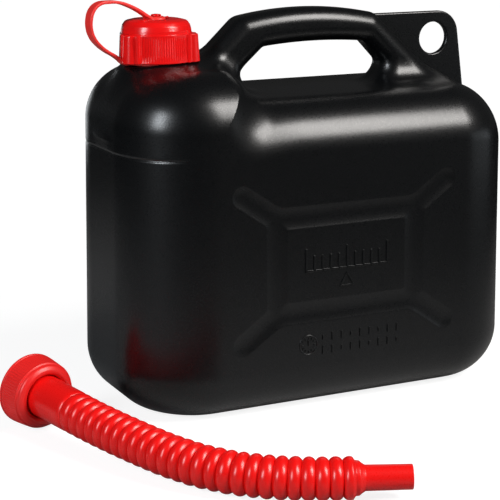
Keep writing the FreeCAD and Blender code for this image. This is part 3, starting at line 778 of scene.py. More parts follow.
@dataclass
class FrontMarks:
    """Plain raised marks on the front: a level line with a triangle, and a dial with rows of strokes."""

    can: JerryCan
    rise: float = 0.8
    width: float = 1.7
    fine_width: float = 1.0
    foot: float = -5.0
    tick_step: float = 6.8
    tick_heights: Point = (10.5, 16.0)
    triangle: Corner = (5.6, -13.5, -4.2)
    dial: Point = (-32.0, -60.5)
    dial_radius: float = 7.2
    dial_stroke: float = 0.7
    pips: Point = (-20.0, -56.0)
    pip_step: Point = (7.9, 9.6)
    pip_halves: Point = (1.2, 2.6)

    def stroke(self, start: Point, end: Point, width: float) -> bpy.types.Object:
        """A straight rounded line that stands up from the front, between two points on it."""
        dx, dz = end[0] - start[0], end[1] - start[1]
        middle = ((start[0] + end[0]) / 2.0, 0.0, (start[1] + end[1]) / 2.0)
        line = bar((math.hypot(dx, dz) + width, 2.0 * self.rise, width), (0.0, 0.0, 0.0), 0.0, 0.24 * width)
        turn = Matrix.Rotation(-math.atan2(dz, dx), 4, "Y")
        line.data.transform(Matrix.Translation(Vector(middle) * MM) @ turn)
        return line

    def level(self) -> list[bpy.types.Object]:
        """A level line with upright ticks, and the triangle that points at it."""
        foot, step = self.foot, self.tick_step
        lines = [self.stroke((-5.0 * step, foot), (5.0 * step, foot), self.width)]
        for tick in range(-5, 6):
            top = foot + self.tick_heights[tick % 5 == 0]
            lines.append(self.stroke((step * tick, foot), (step * tick, top), self.width))
        half, base, tip = self.triangle
        corners = [(-half, foot + base), (half, foot + base), (0.0, foot + tip)]
        for start, end in zip(corners, corners[1:] + corners[:1]):
            lines.append(self.stroke(start, end, self.fine_width))
        return lines

    def round_dial(self) -> list[bpy.types.Object]:
        """A ring with a stroke for each hour and one hand."""
        across, up = self.dial
        deselect()
        bpy.ops.mesh.primitive_torus_add(
            major_radius=self.dial_radius * MM,
            minor_radius=0.55 * MM,
            major_segments=48,
            minor_segments=8,
            rotation=(math.pi / 2.0, 0.0, 0.0),
            location=Vector((across, 0.0, up)) * MM,
        )
        ring = bpy.context.object
        bpy.ops.object.transform_apply()
        lines = [ring, self.stroke((across, up), (across, up + 3.2), self.fine_width)]
        for hour in range(12):
            turn = math.radians(30.0 * hour)
            ends = [(across + reach * math.cos(turn), up + reach * math.sin(turn)) for reach in (4.6, 5.6)]
            lines.append(self.stroke(ends[0], ends[1], self.dial_stroke))
        return lines

    def rows(self) -> list[bpy.types.Object]:
        """Two rows of short upright strokes beside the dial."""
        lines = []
        for row in (0, 1):
            up = self.pips[1] - self.pip_step[1] * row
            for i in range(9):
                across = self.pips[0] + self.pip_step[0] * i
                tall = self.pip_halves[(i + row) % 3 > 0]
                lines.append(self.stroke((across, up - tall), (across, up + tall), self.fine_width))
        return lines

    def build(self, finish: bpy.types.Material) -> None:
        """Makes the marks in one piece that lies on the front."""
        marks = joined([*self.level(), *self.round_dial(), *self.rows()])
        marks.name = marks.data.name = "can_marks"
        across, up = self.can.channel_centre
        off_wall = -self.can.depth / 2.0 + self.can.lean * up
        lean = Matrix.Rotation(-math.atan(self.can.lean), 4, "X")
        marks.data.transform(Matrix.Translation(Vector((across, off_wall, up)) * MM) @ lean)
        shaded(marks)
        set_on(marks, finish, Body.CAN, Slot.CAN)


@dataclass
class Neck:
    """The can's threaded neck with its rim, its bead and its flared foot."""

    axis_x: float = -114.0
    radius: float = 21.75
    bore: float = 19.5
    foot: float = 236.0
    top: float = 278.5
    bead: float = 257.4
    thread: Thread = Thread(21.75, 264.0, 1.25, 1.5, (261.0, 275.5))

    def threaded(self, at: np.ndarray) -> np.ndarray:
        """Raises the thread from the neck's outside."""
        away = np.maximum(np.hypot(at[:, 0], at[:, 1]), 1.0)
        return widened(at, away, self.thread.raised(at, away))

    def build(self, finish: bpy.types.Material) -> None:
        """Makes the neck."""
        shaft = [(self.radius, self.bead + 2.0, 0.0)]
        shaft += [(self.radius, 261.0 + 0.4 * i, 0.0) for i in range(37)]
        outline = eased_outline(
            [
                (self.bore, self.foot, 0.0),
                (self.radius + 1.6, self.foot, 0.0),
                (self.radius + 1.6, 251.0, 0.5),
                (self.radius, 253.0, 1.5),
                (self.radius, self.bead - 1.3, 0.3),
                (self.radius + 0.9, self.bead, 0.7),
                (self.radius, self.bead + 1.3, 0.3),
                *shaft,
                (self.radius, self.top, 0.6),
                (self.bore, self.top, 0.6),
            ]
        )
        neck = turned("can_neck", outline, 144)
        reshaped(neck, self.threaded)
        neck.data.transform(Matrix.Translation((self.axis_x * MM, 0.0, 0.0)))
        shaded(neck)
        set_on(neck, finish, Body.CAN, Slot.CAN)


@dataclass
class ScrewCap:
    """The screw cap: knurled skirt with three stepped grip lobes, crown, sunk well and split button."""

    axis_x: float = -114.0
    bottom: float = 256.6
    shelf: float = 277.0
    skirt: Point = (27.4, 26.4)
    flutes: int = 90
    flute_depth: float = 0.4
    lobes: int = 3
    first_lobe: float = -157.0
    lobe_middle: float = 25.2
    lobe_radius: float = 7.0
    lobe_taper: float = 1.3
    rib_heading: float = 15.6
    rib_middle: float = 27.3
    rib_radius: float = 2.2
    rib_taper: float = 0.4
    knurl_headings: Point = (19.5, 21.5)
    inside_radii: Point = (26.2, 25.2)
    inside_step: float = 262.0
    lobe_drop: float = 0.13
    well: float = 9.4
    well_floor: float = 284.2
    boss: float = 7.9
    boss_top: float = 286.1
    top: float = 285.0
    thread: Thread = Thread(23.7, 262.5, 1.25, -1.45, (0.0, 277.0))

    def outline(self) -> list[Point]:
        """The cap's outline from the well's middle out, down the skirt and back up the inside."""
        low, high = self.skirt
        levels = [self.bottom + 1.6 + (self.shelf - 3.4 - self.bottom) * i / 8 for i in range(9)]
        taper = (low - high) / (self.shelf - self.bottom)
        skirt = [(high + taper * (self.shelf - z), z, 0.0) for z in levels[::-1]]
        inside = [(self.thread.radius, 261.6 + 0.45 * i, 0.0) for i in range(36)]
        return eased_outline(
            [
                (0.0, self.boss_top, 0.0),
                (self.boss, self.boss_top, 0.5),
                (self.boss, self.well_floor, 0.4),
                (self.well - 0.4, self.well_floor, 0.4),
                (self.well, self.top + 2.0, 0.6),
                (17.5, self.top + 1.9, 6.0),
                (22.6, self.top + 0.7, 3.0),
                (24.7, self.top - 2.3, 2.4),
                (25.5, self.top - 5.5, 1.2),
                (25.75, self.shelf, 0.3),
                (high, self.shelf, 0.85),
                (high + 0.06, self.shelf - 1.3, 0.0),
                *skirt,
                (low, self.bottom, 0.6),
                (25.6, self.bottom, 0.35),
                (25.6, 259.6, 0.5),
                (self.thread.radius, 261.0, 0.5),
                *inside,
                (self.thread.radius, 281.0, 1.0),
                (0.0, 281.0, 0.0),
            ]
        )

    def gripped(self, at: np.ndarray) -> np.ndarray:
        """Draws the lobes out of the skirt, presses the flutes into it and raises the inner thread."""
        away = np.maximum(np.hypot(at[:, 0], at[:, 1]), 1e-6)
        heading = np.degrees(np.arctan2(at[:, 1], at[:, 0]))
        pitch = 360.0 / self.lobes
        off = np.mod(heading - self.first_lobe + pitch / 2.0, pitch) - pitch / 2.0
        up = np.clip((at[:, 2] - self.bottom) / (self.shelf - self.bottom), 0.0, 1.0)
        base = self.skirt[0] + (self.skirt[1] - self.skirt[0]) * up

        def bulge(middle: float, radius: np.ndarray, angle: np.ndarray) -> np.ndarray:
            """How far a round bar reaches along each heading."""
            across = middle * np.sin(np.radians(angle))
            inside = np.maximum(radius**2 - across**2, 0.0)
            return np.where(inside > 0.0, middle * np.cos(np.radians(angle)) + np.sqrt(inside), 0.0)

        reach = bulge(self.lobe_middle, self.lobe_radius - self.lobe_taper * up, off)
        side = bulge(self.rib_middle, self.rib_radius - self.rib_taper * up, np.abs(off) - self.rib_heading)
        knurled = ramp(np.abs(off), *self.knurl_headings)
        knurled *= ramp(at[:, 2], self.bottom + 1.2, self.bottom + 2.2)
        knurled *= 1.0 - ramp(at[:, 2], self.shelf - 1.9, self.shelf - 0.9)
        flute = self.flute_depth * (0.5 - 0.5 * np.cos(np.radians(heading) * self.flutes)) * knurled
        drawn = -inner_round(inner_round(-reach, -side, 0.35), -base, 0.7) - base
        below, above = self.inside_radii
        outer = away > np.where(at[:, 2] > self.inside_step, above, below)
        outer &= at[:, 2] < self.shelf + 0.05
        change = np.where(outer, drawn - flute, 0.0)
        moved = widened(at, away, change + self.thread.raised(at, away))
        drop = self.lobe_drop * np.maximum(drawn, 0.0) * ramp(at[:, 2], self.shelf - 2.0, self.shelf)
        moved[:, 2] = at[:, 2] - np.where(outer, drop, 0.0)
        return moved

    def top_marks(self) -> list[bpy.types.Object]:
        """Short plain grips on the crown at both sides of the well."""
        marks = []
        for side in (0.0, 180.0):
            for i in range(-2, 3):
                heading = side + 64.0 + 13.0 * i
                turn = math.radians(heading)
                place = (16.0 * math.cos(turn), 16.0 * math.sin(turn), self.top + 1.95)
                marks.append(bar((4.2, 0.9, 0.7), place, heading, 0.2))
        return marks

    def button(self) -> bpy.types.Object:
        """The snap button, split crosswise."""
        outline = eased_outline(
            [
                (0.0, self.boss_top - 0.8, 0.0),
                (3.2, self.boss_top - 0.8, 0.0),
                (3.2, 288.8, 0.2),
                (3.9, 289.1, 0.2),
                (3.8, 289.6, 0.3),
                (3.0, 290.1, 0.3),
                (0.0, 290.1, 0.0),
            ]
        )
        button = turned("button", outline, 48)
        for heading in (20.0, 110.0):
            cutter = bar((12.0, 1.2, 4.0), (0.0, 0.0, 290.2), heading, 0.0)
            split = button.modifiers.new("split", "BOOLEAN")
            split.object = cutter
            split.operation = "DIFFERENCE"
            pick(button)
            bpy.ops.object.modifier_apply(modifier=split.name)
            bpy.data.objects.remove(cutter)
        return button

    def build(self, finish: bpy.types.Material) -> None:
        """Makes the cap in one piece with its button."""
        shell = turned("cap", self.outline(), 4 * self.flutes)
        reshaped(shell, self.gripped)
        cap = joined([shell, self.button(), *self.top_marks()])
        cap.data.transform(Matrix.Translation((self.axis_x * MM, 0.0, 0.0)))
        shaded(cap)
        set_on(cap, finish, Body.CAP, Slot.CAP, "screw_cap")


@dataclass
class Tether:
    """The strap that keeps the cap on the can, with a collar round the neck and an eyelet on the button."""

    axis_x: float = -114.0
    width: float = 8.4
    thickness: float = 2.2
    stretch: Point = (255.0, 285.0)
    route: tuple[Corner, ...] = (
        (182.0, 23.0, 255.5),
        (182.0, 26.4, 256.0),
        (182.5, 29.6, 258.6),
        (183.0, 33.6, 261.6),
        (184.0, 40.2, 265.4),
        (185.0, 46.4, 270.0),
        (186.0, 51.4, 275.6),
        (186.5, 54.0, 282.2),
        (187.0, 54.2, 289.2),
        (187.0, 52.0, 295.2),
        (186.5, 47.0, 299.2),
        (186.0, 38.6, 300.3),
        (186.0, 30.6, 299.7),
        (186.0, 22.6, 297.1),
        (186.0, 14.6, 293.2),
        (186.0, 9.2, 289.8),
        (186.0, 5.2, 287.5),
    )

    def ring(
        self, name: str, corners: Sequence[Corner], body: Body, node: str, finish: bpy.types.Material
    ) -> None:
        """Makes one of the strap's two ends, a ring about the neck's axis."""
        ring = turned(name, eased_outline(corners), 96)
        ring.data.transform(Matrix.Translation((self.axis_x * MM, 0.0, 0.0)))
        shaded(ring)
        set_on(ring, finish, body, Slot.TETHER, node)

    def places(self) -> list[Vector]:
        """The route's points in metres."""
        places = []
        for heading, reach, height in self.route:
            turn = math.radians(heading)
            places.append(Vector((self.axis_x + reach * math.cos(turn), reach * math.sin(turn), height)) * MM)
        return places

    def section(self) -> bpy.types.Object:
        """The strap's cross-section, a flat bar with rounded edges."""
        half, edge = self.width / 2.0, self.thickness / 2.0
        corners = [(-half, -edge, 0.7), (half, -edge, 0.7), (half, edge, 0.7), (-half, edge, 0.7)]
        outline = bpy.data.curves.new("strap_section", "CURVE")
        spline = outline.splines.new("POLY")
        points = eased_outline(corners, 22.5)
        spline.points.add(len(points) - 1)
        for point, (x, y) in zip(spline.points, points):
            point.co = (x * MM, y * MM, 0.0, 1.0)
        spline.use_cyclic_u = True
        section = bpy.data.objects.new("strap_section", outline)
        bpy.context.scene.collection.objects.link(section)
        return section

    def strap(self) -> bpy.types.Object:
        """The flat strap, bent along its route."""
        line = bpy.data.curves.new("tether_band", "CURVE")
        line.dimensions = "3D"
        line.resolution_u = 8
        line.use_fill_caps = True
        line.bevel_mode = "OBJECT"
        section = self.section()
        line.bevel_object = section
        spline = line.splines.new("BEZIER")
        places = self.places()
        spline.bezier_points.add(len(places) - 1)
        for point, place in zip(spline.bezier_points, places):
            point.co = place
            point.handle_left_type = point.handle_right_type = "AUTO"
        strap = bpy.data.objects.new("tether_band", line)
        bpy.context.scene.collection.objects.link(strap)
        pick(strap)
        bpy.ops.object.convert(target="MESH")
        bpy.data.objects.remove(section)
        with editing(strap):
            bpy.ops.mesh.remove_doubles(threshold=0.005 * MM)
            bpy.ops.mesh.normals_make_consistent(inside=False)
        return strap

    def build(self, finish: bpy.types.Material) -> None:
        """Makes collar, eyelet and strap."""
        collar = [(22.1, 255.0, 0.5), (24.3, 255.0, 0.6), (24.3, 256.5, 0.6), (22.1, 256.5, 0.5)]
        eyelet = [
            (3.45, 286.3, 0.3),
            (7.2, 286.3, 0.4),
            (6.7, 287.6, 0.8),
            (4.6, 288.6, 0.5),
            (3.45, 288.6, 0.3),
        ]
        self.ring("tether_ring", collar, Body.CAN, "tether_collar", finish)
        self.ring("tether_disc", eyelet, Body.TETHER_END, "tether_eyelet", finish)
        strap = self.strap()
        shaded(strap, 50.0)
        dressed(strap, finish)
        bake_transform(strap)
        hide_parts("tether_strap")


@dataclass
class SpoutLine:
    """The spout's centre line: straight runs from hinge to hinge, with each corner rounded."""

    hinges: list[np.ndarray]
    upright: np.ndarray
    last_bend: float = 7.0
    easing: float = 8.7

    @classmethod
    def from_joints(cls, joints: Sequence[dict[str, Any]]) -> "SpoutLine":
        """Reads the line from the nut's and the bellows' joints."""
        named = {joint["name"]: joint for joint in joints}
        names = ["nut_turn"] + [f"spout_bend_{i}" for i in range(1, 9)]
        hinges = [np.array(named[name]["pos_m"]) / MM for name in names]
        return cls(hinges, unit(np.array(named["spout_bend_1"]["axis"])))

    def ways(self) -> list[np.ndarray]:
        """The direction of each run."""
        ways = [unit(end - start) for start, end in zip(self.hinges, self.hinges[1:])]
        turn = math.radians(self.last_bend)
        ways.append(ways[-1] * math.cos(turn) + np.cross(self.upright, ways[-1]) * math.sin(turn))
        return ways

    def starts(self) -> list[float]:
        """How far along the line each hinge is."""
        lengths = [np.linalg.norm(end - start) for start, end in zip(self.hinges, self.hinges[1:])]
        return [0.0, *np.cumsum(lengths).tolist()]

    def laid(self, at: np.ndarray) -> np.ndarray:
        """Moves points of a straight spout along Z to where they lie along the line."""
        starts, ways = self.starts(), self.ways()
        run = np.clip(np.searchsorted(starts, at[:, 2], side="right") - 1, 0, len(ways) - 1)
        base, way = np.array(self.hinges)[run], np.array(ways)[run]
        middle = base + way * (at[:, 2] - np.array(starts)[run])[:, None]
        for i in range(1, len(ways)):
            before, after = ways[i - 1], ways[i]
            bend = math.acos(min(1.0, float(before @ after)))
            near = np.abs(at[:, 2] - starts[i]) < self.easing
            angle = bend * (at[near, 2] - starts[i] + self.easing) / (2.0 * self.easing)
            radius = self.easing / math.tan(bend / 2.0)
            inward = np.cross(self.upright, before)
            entry = self.hinges[i] - before * self.easing
            sine, cosine = np.sin(angle)[:, None], np.cos(angle)[:, None]
            middle[near] = entry + radius * (sine * before + (1.0 - cosine) * inward)
            way[near] = cosine * before + sine * inward
        side = np.cross(self.upright, way)
        return middle + at[:, :1] * self.upright + at[:, 1:2] * side

    def place(self, along: float) -> Vector:
        """The line's point at a distance, in metres."""
        return Vector(self.laid(np.array([[0.0, 0.0, along]]))[0] * MM)


@dataclass
class Spout:
    """The flexible spout: flange and smooth neck, bellows that bend, and a straight nozzle."""

    line: SpoutLine
    wall: float = 1.5
    pitch: float = 8.7
    crest: Point = (15.1, 14.1)
    valley: float = 11.4
    bellows: Point = (40.0, 283.6)
    nozzle_length: float = 36.0
    nozzle_radius: float = 8.3
    ridge_points: int = 14
    ridge_power: float = 0.7
    shallow_ridges: Point = (1.3, 3.5)

    def ridged(self, along: float) -> float:
        """The bellows' outer radius at a distance along the spout."""
        start, end = self.bellows
        share = (along - start) / (end - start)
        crest = self.crest[0] + (self.crest[1] - self.crest[0]) * share
        first = (along - start) / self.pitch
        shallow, full = self.shallow_ridges
        grown = min(1.0, max(0.0, (first - shallow) / (full - shallow)))
        valley = self.valley + (crest - self.valley) * (1.0 - grown)
        off_crest = 2.0 * (first - math.floor(first + 1e-6)) - 1.0
        return valley + (crest - valley) * max(0.0, 1.0 - off_crest**2) ** self.ridge_power

    def ridges(self, start: float, end: float) -> list[Point]:
        """Outline points (radius, distance) of the bellows between two of its valleys."""
        ridges = round((end - start) / self.pitch)
        stations = []
        for ridge in range(ridges):
            for i in range(self.ridge_points):
                share = 0.5 - 0.5 * math.cos(math.pi * i / self.ridge_points)
                stations.append(start + self.pitch * (ridge + share))
        return [(self.ridged(station), station) for station in [*stations, end]]

    def tube(self, name: str, outer: list[Point], inner: list[Point]) -> bpy.types.Object:
        """Turns a tube between its outer and inner outlines and lays it along the line."""
        tube = turned(name, outer + inner[::-1], 72)
        reshaped(tube, self.line.laid)
        with editing(tube):
            bpy.ops.mesh.normals_make_consistent(inside=False)
        shaded(tube, 75.0)
        return tube

    def within(self, outer: list[Point]) -> list[Point]:
        """The inner outline under an outer one, with fewer points."""
        kept = outer[::2] if outer[-1] in outer[::2] else outer[::2] + [outer[-1]]
        return [(radius - self.wall, along) for radius, along in kept]

    def build_neck(self, first: float, finish: bpy.types.Material) -> None:
        """Makes the flange, the smooth neck and the first ridges, up to a valley."""
        start = self.bellows[0]
        valley = self.ridged(start)
        body = eased_outline(
            [
                (13.9, 9.0, 0.3),
                (21.6, 9.0, 0.3),
                (21.6, 11.0, 0.3),
                (15.5, 11.0, 0.3),
                (15.4, 17.0, 0.0),
                (15.35, 24.0, 0.0),
                (15.15, 31.0, 0.0),
                (valley, start, 0.0),
                (valley - self.wall, start, 0.0),
                (13.5, 28.0, 0.0),
            ]
        )
        split = body.index((valley, start))
        ridges = self.ridges(start, first)
        outer = body[: split + 1] + ridges[1:]
        inner = body[split + 1 :][::-1] + self.within(ridges)[1:]
        set_on(self.tube("spout_throat", outer, inner), finish, Body.SPOUT, Slot.SPOUT, "spout_neck")

    def build_bellows(self, first: float, finish: bpy.types.Material) -> None:
        """Makes the bellows in pieces, each laid along the line through one hinge's rounded bend, that meet
        in the valleys.
        """
        starts = self.line.starts()
        begin = first
        for i in range(1, 9):
            hinge = starts[i]
            end = hinge + 2.0 * self.pitch
            outer = self.ridges(begin, end)
            piece = self.tube(f"bellows_bend_{i}", outer, self.within(outer))
            dressed(piece, finish)
            low, high = self.line.place(hinge - self.pitch), self.line.place(hinge + self.pitch)
            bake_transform(piece)
            if i < 8:
                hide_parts(f"spout_bellows_{i}")
            begin = end

    def build_nozzle(self, begin: float, finish: bpy.types.Material) -> None:
        """Makes the last ridge, the stepped shoulder and the straight nozzle."""
        last = self.bellows[1]
        tip = last + self.nozzle_length
        ridge = self.ridges(begin, last)[: self.ridge_points // 2 + 3]
        under = self.within(ridge)
        shoulder = eased_outline(
            [
                (*ridge[-1], 0.0),
                (11.5, last - 0.9, 0.4),
                (11.2, last + 1.6, 0.7),
                (9.6, last + 3.6, 0.5),
                (self.nozzle_radius + 0.15, last + 5.4, 0.8),
                (self.nozzle_radius, last + 20.0, 0.0),
                (self.nozzle_radius - 0.1, tip, 0.35),
                (self.nozzle_radius - self.wall, tip, 0.35),
                (self.nozzle_radius - self.wall, last + 5.0, 1.0),
                (9.6, last - 0.4, 0.5),
                (*under[-1], 0.0),
            ]
        )
        nozzle = self.tube("pouring_nozzle", ridge[:-1] + shoulder, under[:-1])
        set_on(nozzle, finish, Body.NOZZLE, Slot.SPOUT, "spout_nozzle")

    def build(self, finish: bpy.types.Material) -> None:
        """Makes the whole spout."""
        starts = self.line.starts()
        first = starts[1] - self.pitch
        self.bellows = (self.bellows[0], starts[8] + 3.0 * self.pitch)
        self.build_neck(first, finish)
        self.build_bellows(first, finish)
        self.build_nozzle(starts[8] + 2.0 * self.pitch, finish)


@dataclass
class SpoutNut:
    """The knurled union nut on the spout, threaded inside."""

    line: SpoutLine
    flutes: int = 80
    flute_depth: float = 0.4
    band_inside: float = 24.2
    band_foot: Point = (3.4, 4.2)
    band_top: Point = (16.8, 17.8)
    thread: Thread = Thread(23.7, 2.6, 0.95, -1.45, (0.0, 10.8))

    def outline(self) -> list[Point]:
        """The nut's outline (radius, distance from its open end)."""
        inside = [(self.thread.radius, 10.8 - 0.4 * i, 0.0) for i in range(25)]
        return eased_outline(
            [
                (24.6, 0.0, 0.5),
                (26.0, 0.0, 0.7),
                (26.0, 2.0, 0.5),
                (25.2, 2.3, 0.25),
                (25.2, 2.9, 0.25),
                (25.9, 3.2, 0.3),
                (25.84, 4.2, 0.0),
                (25.5, 8.0, 0.0),
                (24.6, 17.0, 0.0),
                (24.45, 18.0, 0.4),
                (23.4, 18.5, 0.4),
                (22.9, 20.9, 2.2),
                (20.0, 22.9, 2.2),
                (17.8, 22.4, 1.0),
                (16.2, 20.6, 0.8),
                (15.9, 11.3, 0.3),
                (self.thread.radius, 11.3, 0.4),
                *inside,
                (24.0, 0.9, 0.0),
            ]
        )

    def gripped(self, at: np.ndarray) -> np.ndarray:
        """Presses the flutes into the band and raises the inner thread."""
        away = np.maximum(np.hypot(at[:, 0], at[:, 1]), 1e-6)
        heading = np.arctan2(at[:, 1], at[:, 0])
        knurled = (away > self.band_inside) * ramp(at[:, 2], *self.band_foot)
        knurled *= 1.0 - ramp(at[:, 2], *self.band_top)
        change = -self.flute_depth * (0.5 - 0.5 * np.cos(heading * self.flutes)) * knurled
        return widened(at, away, change + self.thread.raised(at, away))

    def build(self, finish: bpy.types.Material) -> None:
        """Makes the nut where it lies on the spout."""
        nut = turned("union_nut", self.outline(), 4 * self.flutes)
        reshaped(nut, self.gripped)
        reshaped(nut, self.line.laid)
        with editing(nut):
            bpy.ops.mesh.normals_make_consistent(inside=False)
        shaded(nut)
        set_on(nut, finish, Body.NUT, Slot.NUT, "spout_nut")


# Finishes


def added(tree: bpy.types.NodeTree, kind: str, **values: Any) -> bpy.types.Node:
    """Adds a shader node and sets its inputs.

    Args:
        tree: The material's or the world's node tree.
        kind: The node's type.
        values: A value for each named input, with an underscore for each space.

    Returns:
        The new node.
    """
    node = tree.nodes.new(kind)
    for name, value in values.items():
        node.inputs[name.replace("_", " ")].default_value = value
    return node


@dataclass(frozen=True)
class Plastic:
    """A moulded plastic: its colour, how it shines and the fine unevenness of its surface, in metres."""

    name: str
    color: Shade
    shade: Shade
    roughness: Point
    grain_size: float
    grain_depth: float
    wave_size: float
    wave_depth: float

    def material(self) -> bpy.types.Material:
        """Makes the node material."""
        made = bpy.data.materials.new(self.name)
        made.use_nodes = True
        tree, link = made.node_tree, made.node_tree.links.new
        shader = tree.nodes["Principled BSDF"]
        place = added(tree, "ShaderNodeTexCoord").outputs["Object"]

        def noise(size: float, detail: float) -> bpy.types.NodeSocket:
            """Noise whose lumps are about size metres across."""
            texture = added(tree, "ShaderNodeTexNoise", Scale=1.0 / size, Detail=detail)
            link(place, texture.inputs["Vector"])
            return texture.outputs["Fac"]

        broad = noise(self.wave_size, 3.0)
        fine = noise(self.grain_size, 2.0)
        tint = added(tree, "ShaderNodeMix")
        tint.data_type = "RGBA"
        tint.inputs["A"].default_value = (*self.color, 1.0)
        tint.inputs["B"].default_value = (*self.shade, 1.0)
        link(broad, tint.inputs["Factor"])
        link(tint.outputs["Result"], shader.inputs["Base Color"])
        low, high = self.roughness
        gloss = added(tree, "ShaderNodeMapRange", From_Min=0.3, From_Max=0.7, To_Min=low, To_Max=high)
        link(fine, gloss.inputs["Value"])
        link(gloss.outputs["Result"], shader.inputs["Roughness"])
        wave = added(tree, "ShaderNodeBump", Distance=self.wave_depth, Strength=1.0)
        link(broad, wave.inputs["Height"])
        grain = added(tree, "ShaderNodeBump", Distance=self.grain_depth, Strength=1.0)
        link(fine, grain.inputs["Height"])
        link(wave.outputs["Normal"], grain.inputs["Normal"])
        link(grain.outputs["Normal"], shader.inputs["Normal"])
        return made


CAN_BLACK = Plastic(
    name="satin_black_polyethylene",
    color=(0.0016, 0.0019, 0.0023),
    shade=(0.0026, 0.003, 0.0035),
    roughness=(0.26, 0.32),
    grain_size=0.0009,
    grain_depth=0.00002,
    wave_size=0.03,
    wave_depth=0.00012,
)
CAP_RED = Plastic(
    name="red_cap_plastic",
    color=(0.8, 0.006, 0.006),
    shade=(0.74, 0.0055, 0.0055),
    roughness=(0.18, 0.25),
    grain_size=0.0006,
    grain_depth=0.000008,
    wave_size=0.01,
    wave_depth=0.00002,
)
STRAP_RED = Plastic(
    name="red_strap_plastic",
    color=(0.86, 0.034, 0.028),
    shade=(0.8, 0.028, 0.022),
    roughness=(0.4, 0.48),
    grain_size=0.0006,
    grain_depth=0.00001,
    wave_size=0.008,
    wave_depth=0.00003,
)
SPOUT_RED = Plastic(
    name="red_spout_plastic",
    color=(0.86, 0.006, 0.005),
    shade=(0.8, 0.0055, 0.0045),
    roughness=(0.26, 0.32),
    grain_size=0.0008,
    grain_depth=0.000008,
    wave_size=0.012,
    wave_depth=0.00004,
)
NUT_RED = Plastic(
    name="red_nut_plastic",
    color=(0.84, 0.018, 0.016),
    shade=(0.78, 0.015, 0.013),
    roughness=(0.34, 0.42),
    grain_size=0.0006,
    grain_depth=0.00001,
    wave_size=0.01,
    wave_depth=0.00002,
)
SEAL_GREY = Plastic(
    name="dark_seal_rubber",
    color=(0.03, 0.03, 0.03),
    shade=(0.045, 0.045, 0.045),
    roughness=(0.5, 0.6),
    grain_size=0.0005,
    grain_depth=0.00002,
    wave_size=0.006,
    wave_depth=0.00004,
)


@dataclass(frozen=True)
class Lamp:
    """A soft rectangular lamp that hangs in a given direction from the object."""

    name: str
    azimuth: float
    height: float
    distance: float
    size: Point
    power: float
    color: Shade

    def way(self) -> Vector:
        """The direction from the object to the lamp."""
        turn, rise = math.radians(self.azimuth), math.radians(self.height)
        return Vector((math.cos(turn) * math.cos(rise), math.sin(turn) * math.cos(rise), math.sin(rise)))


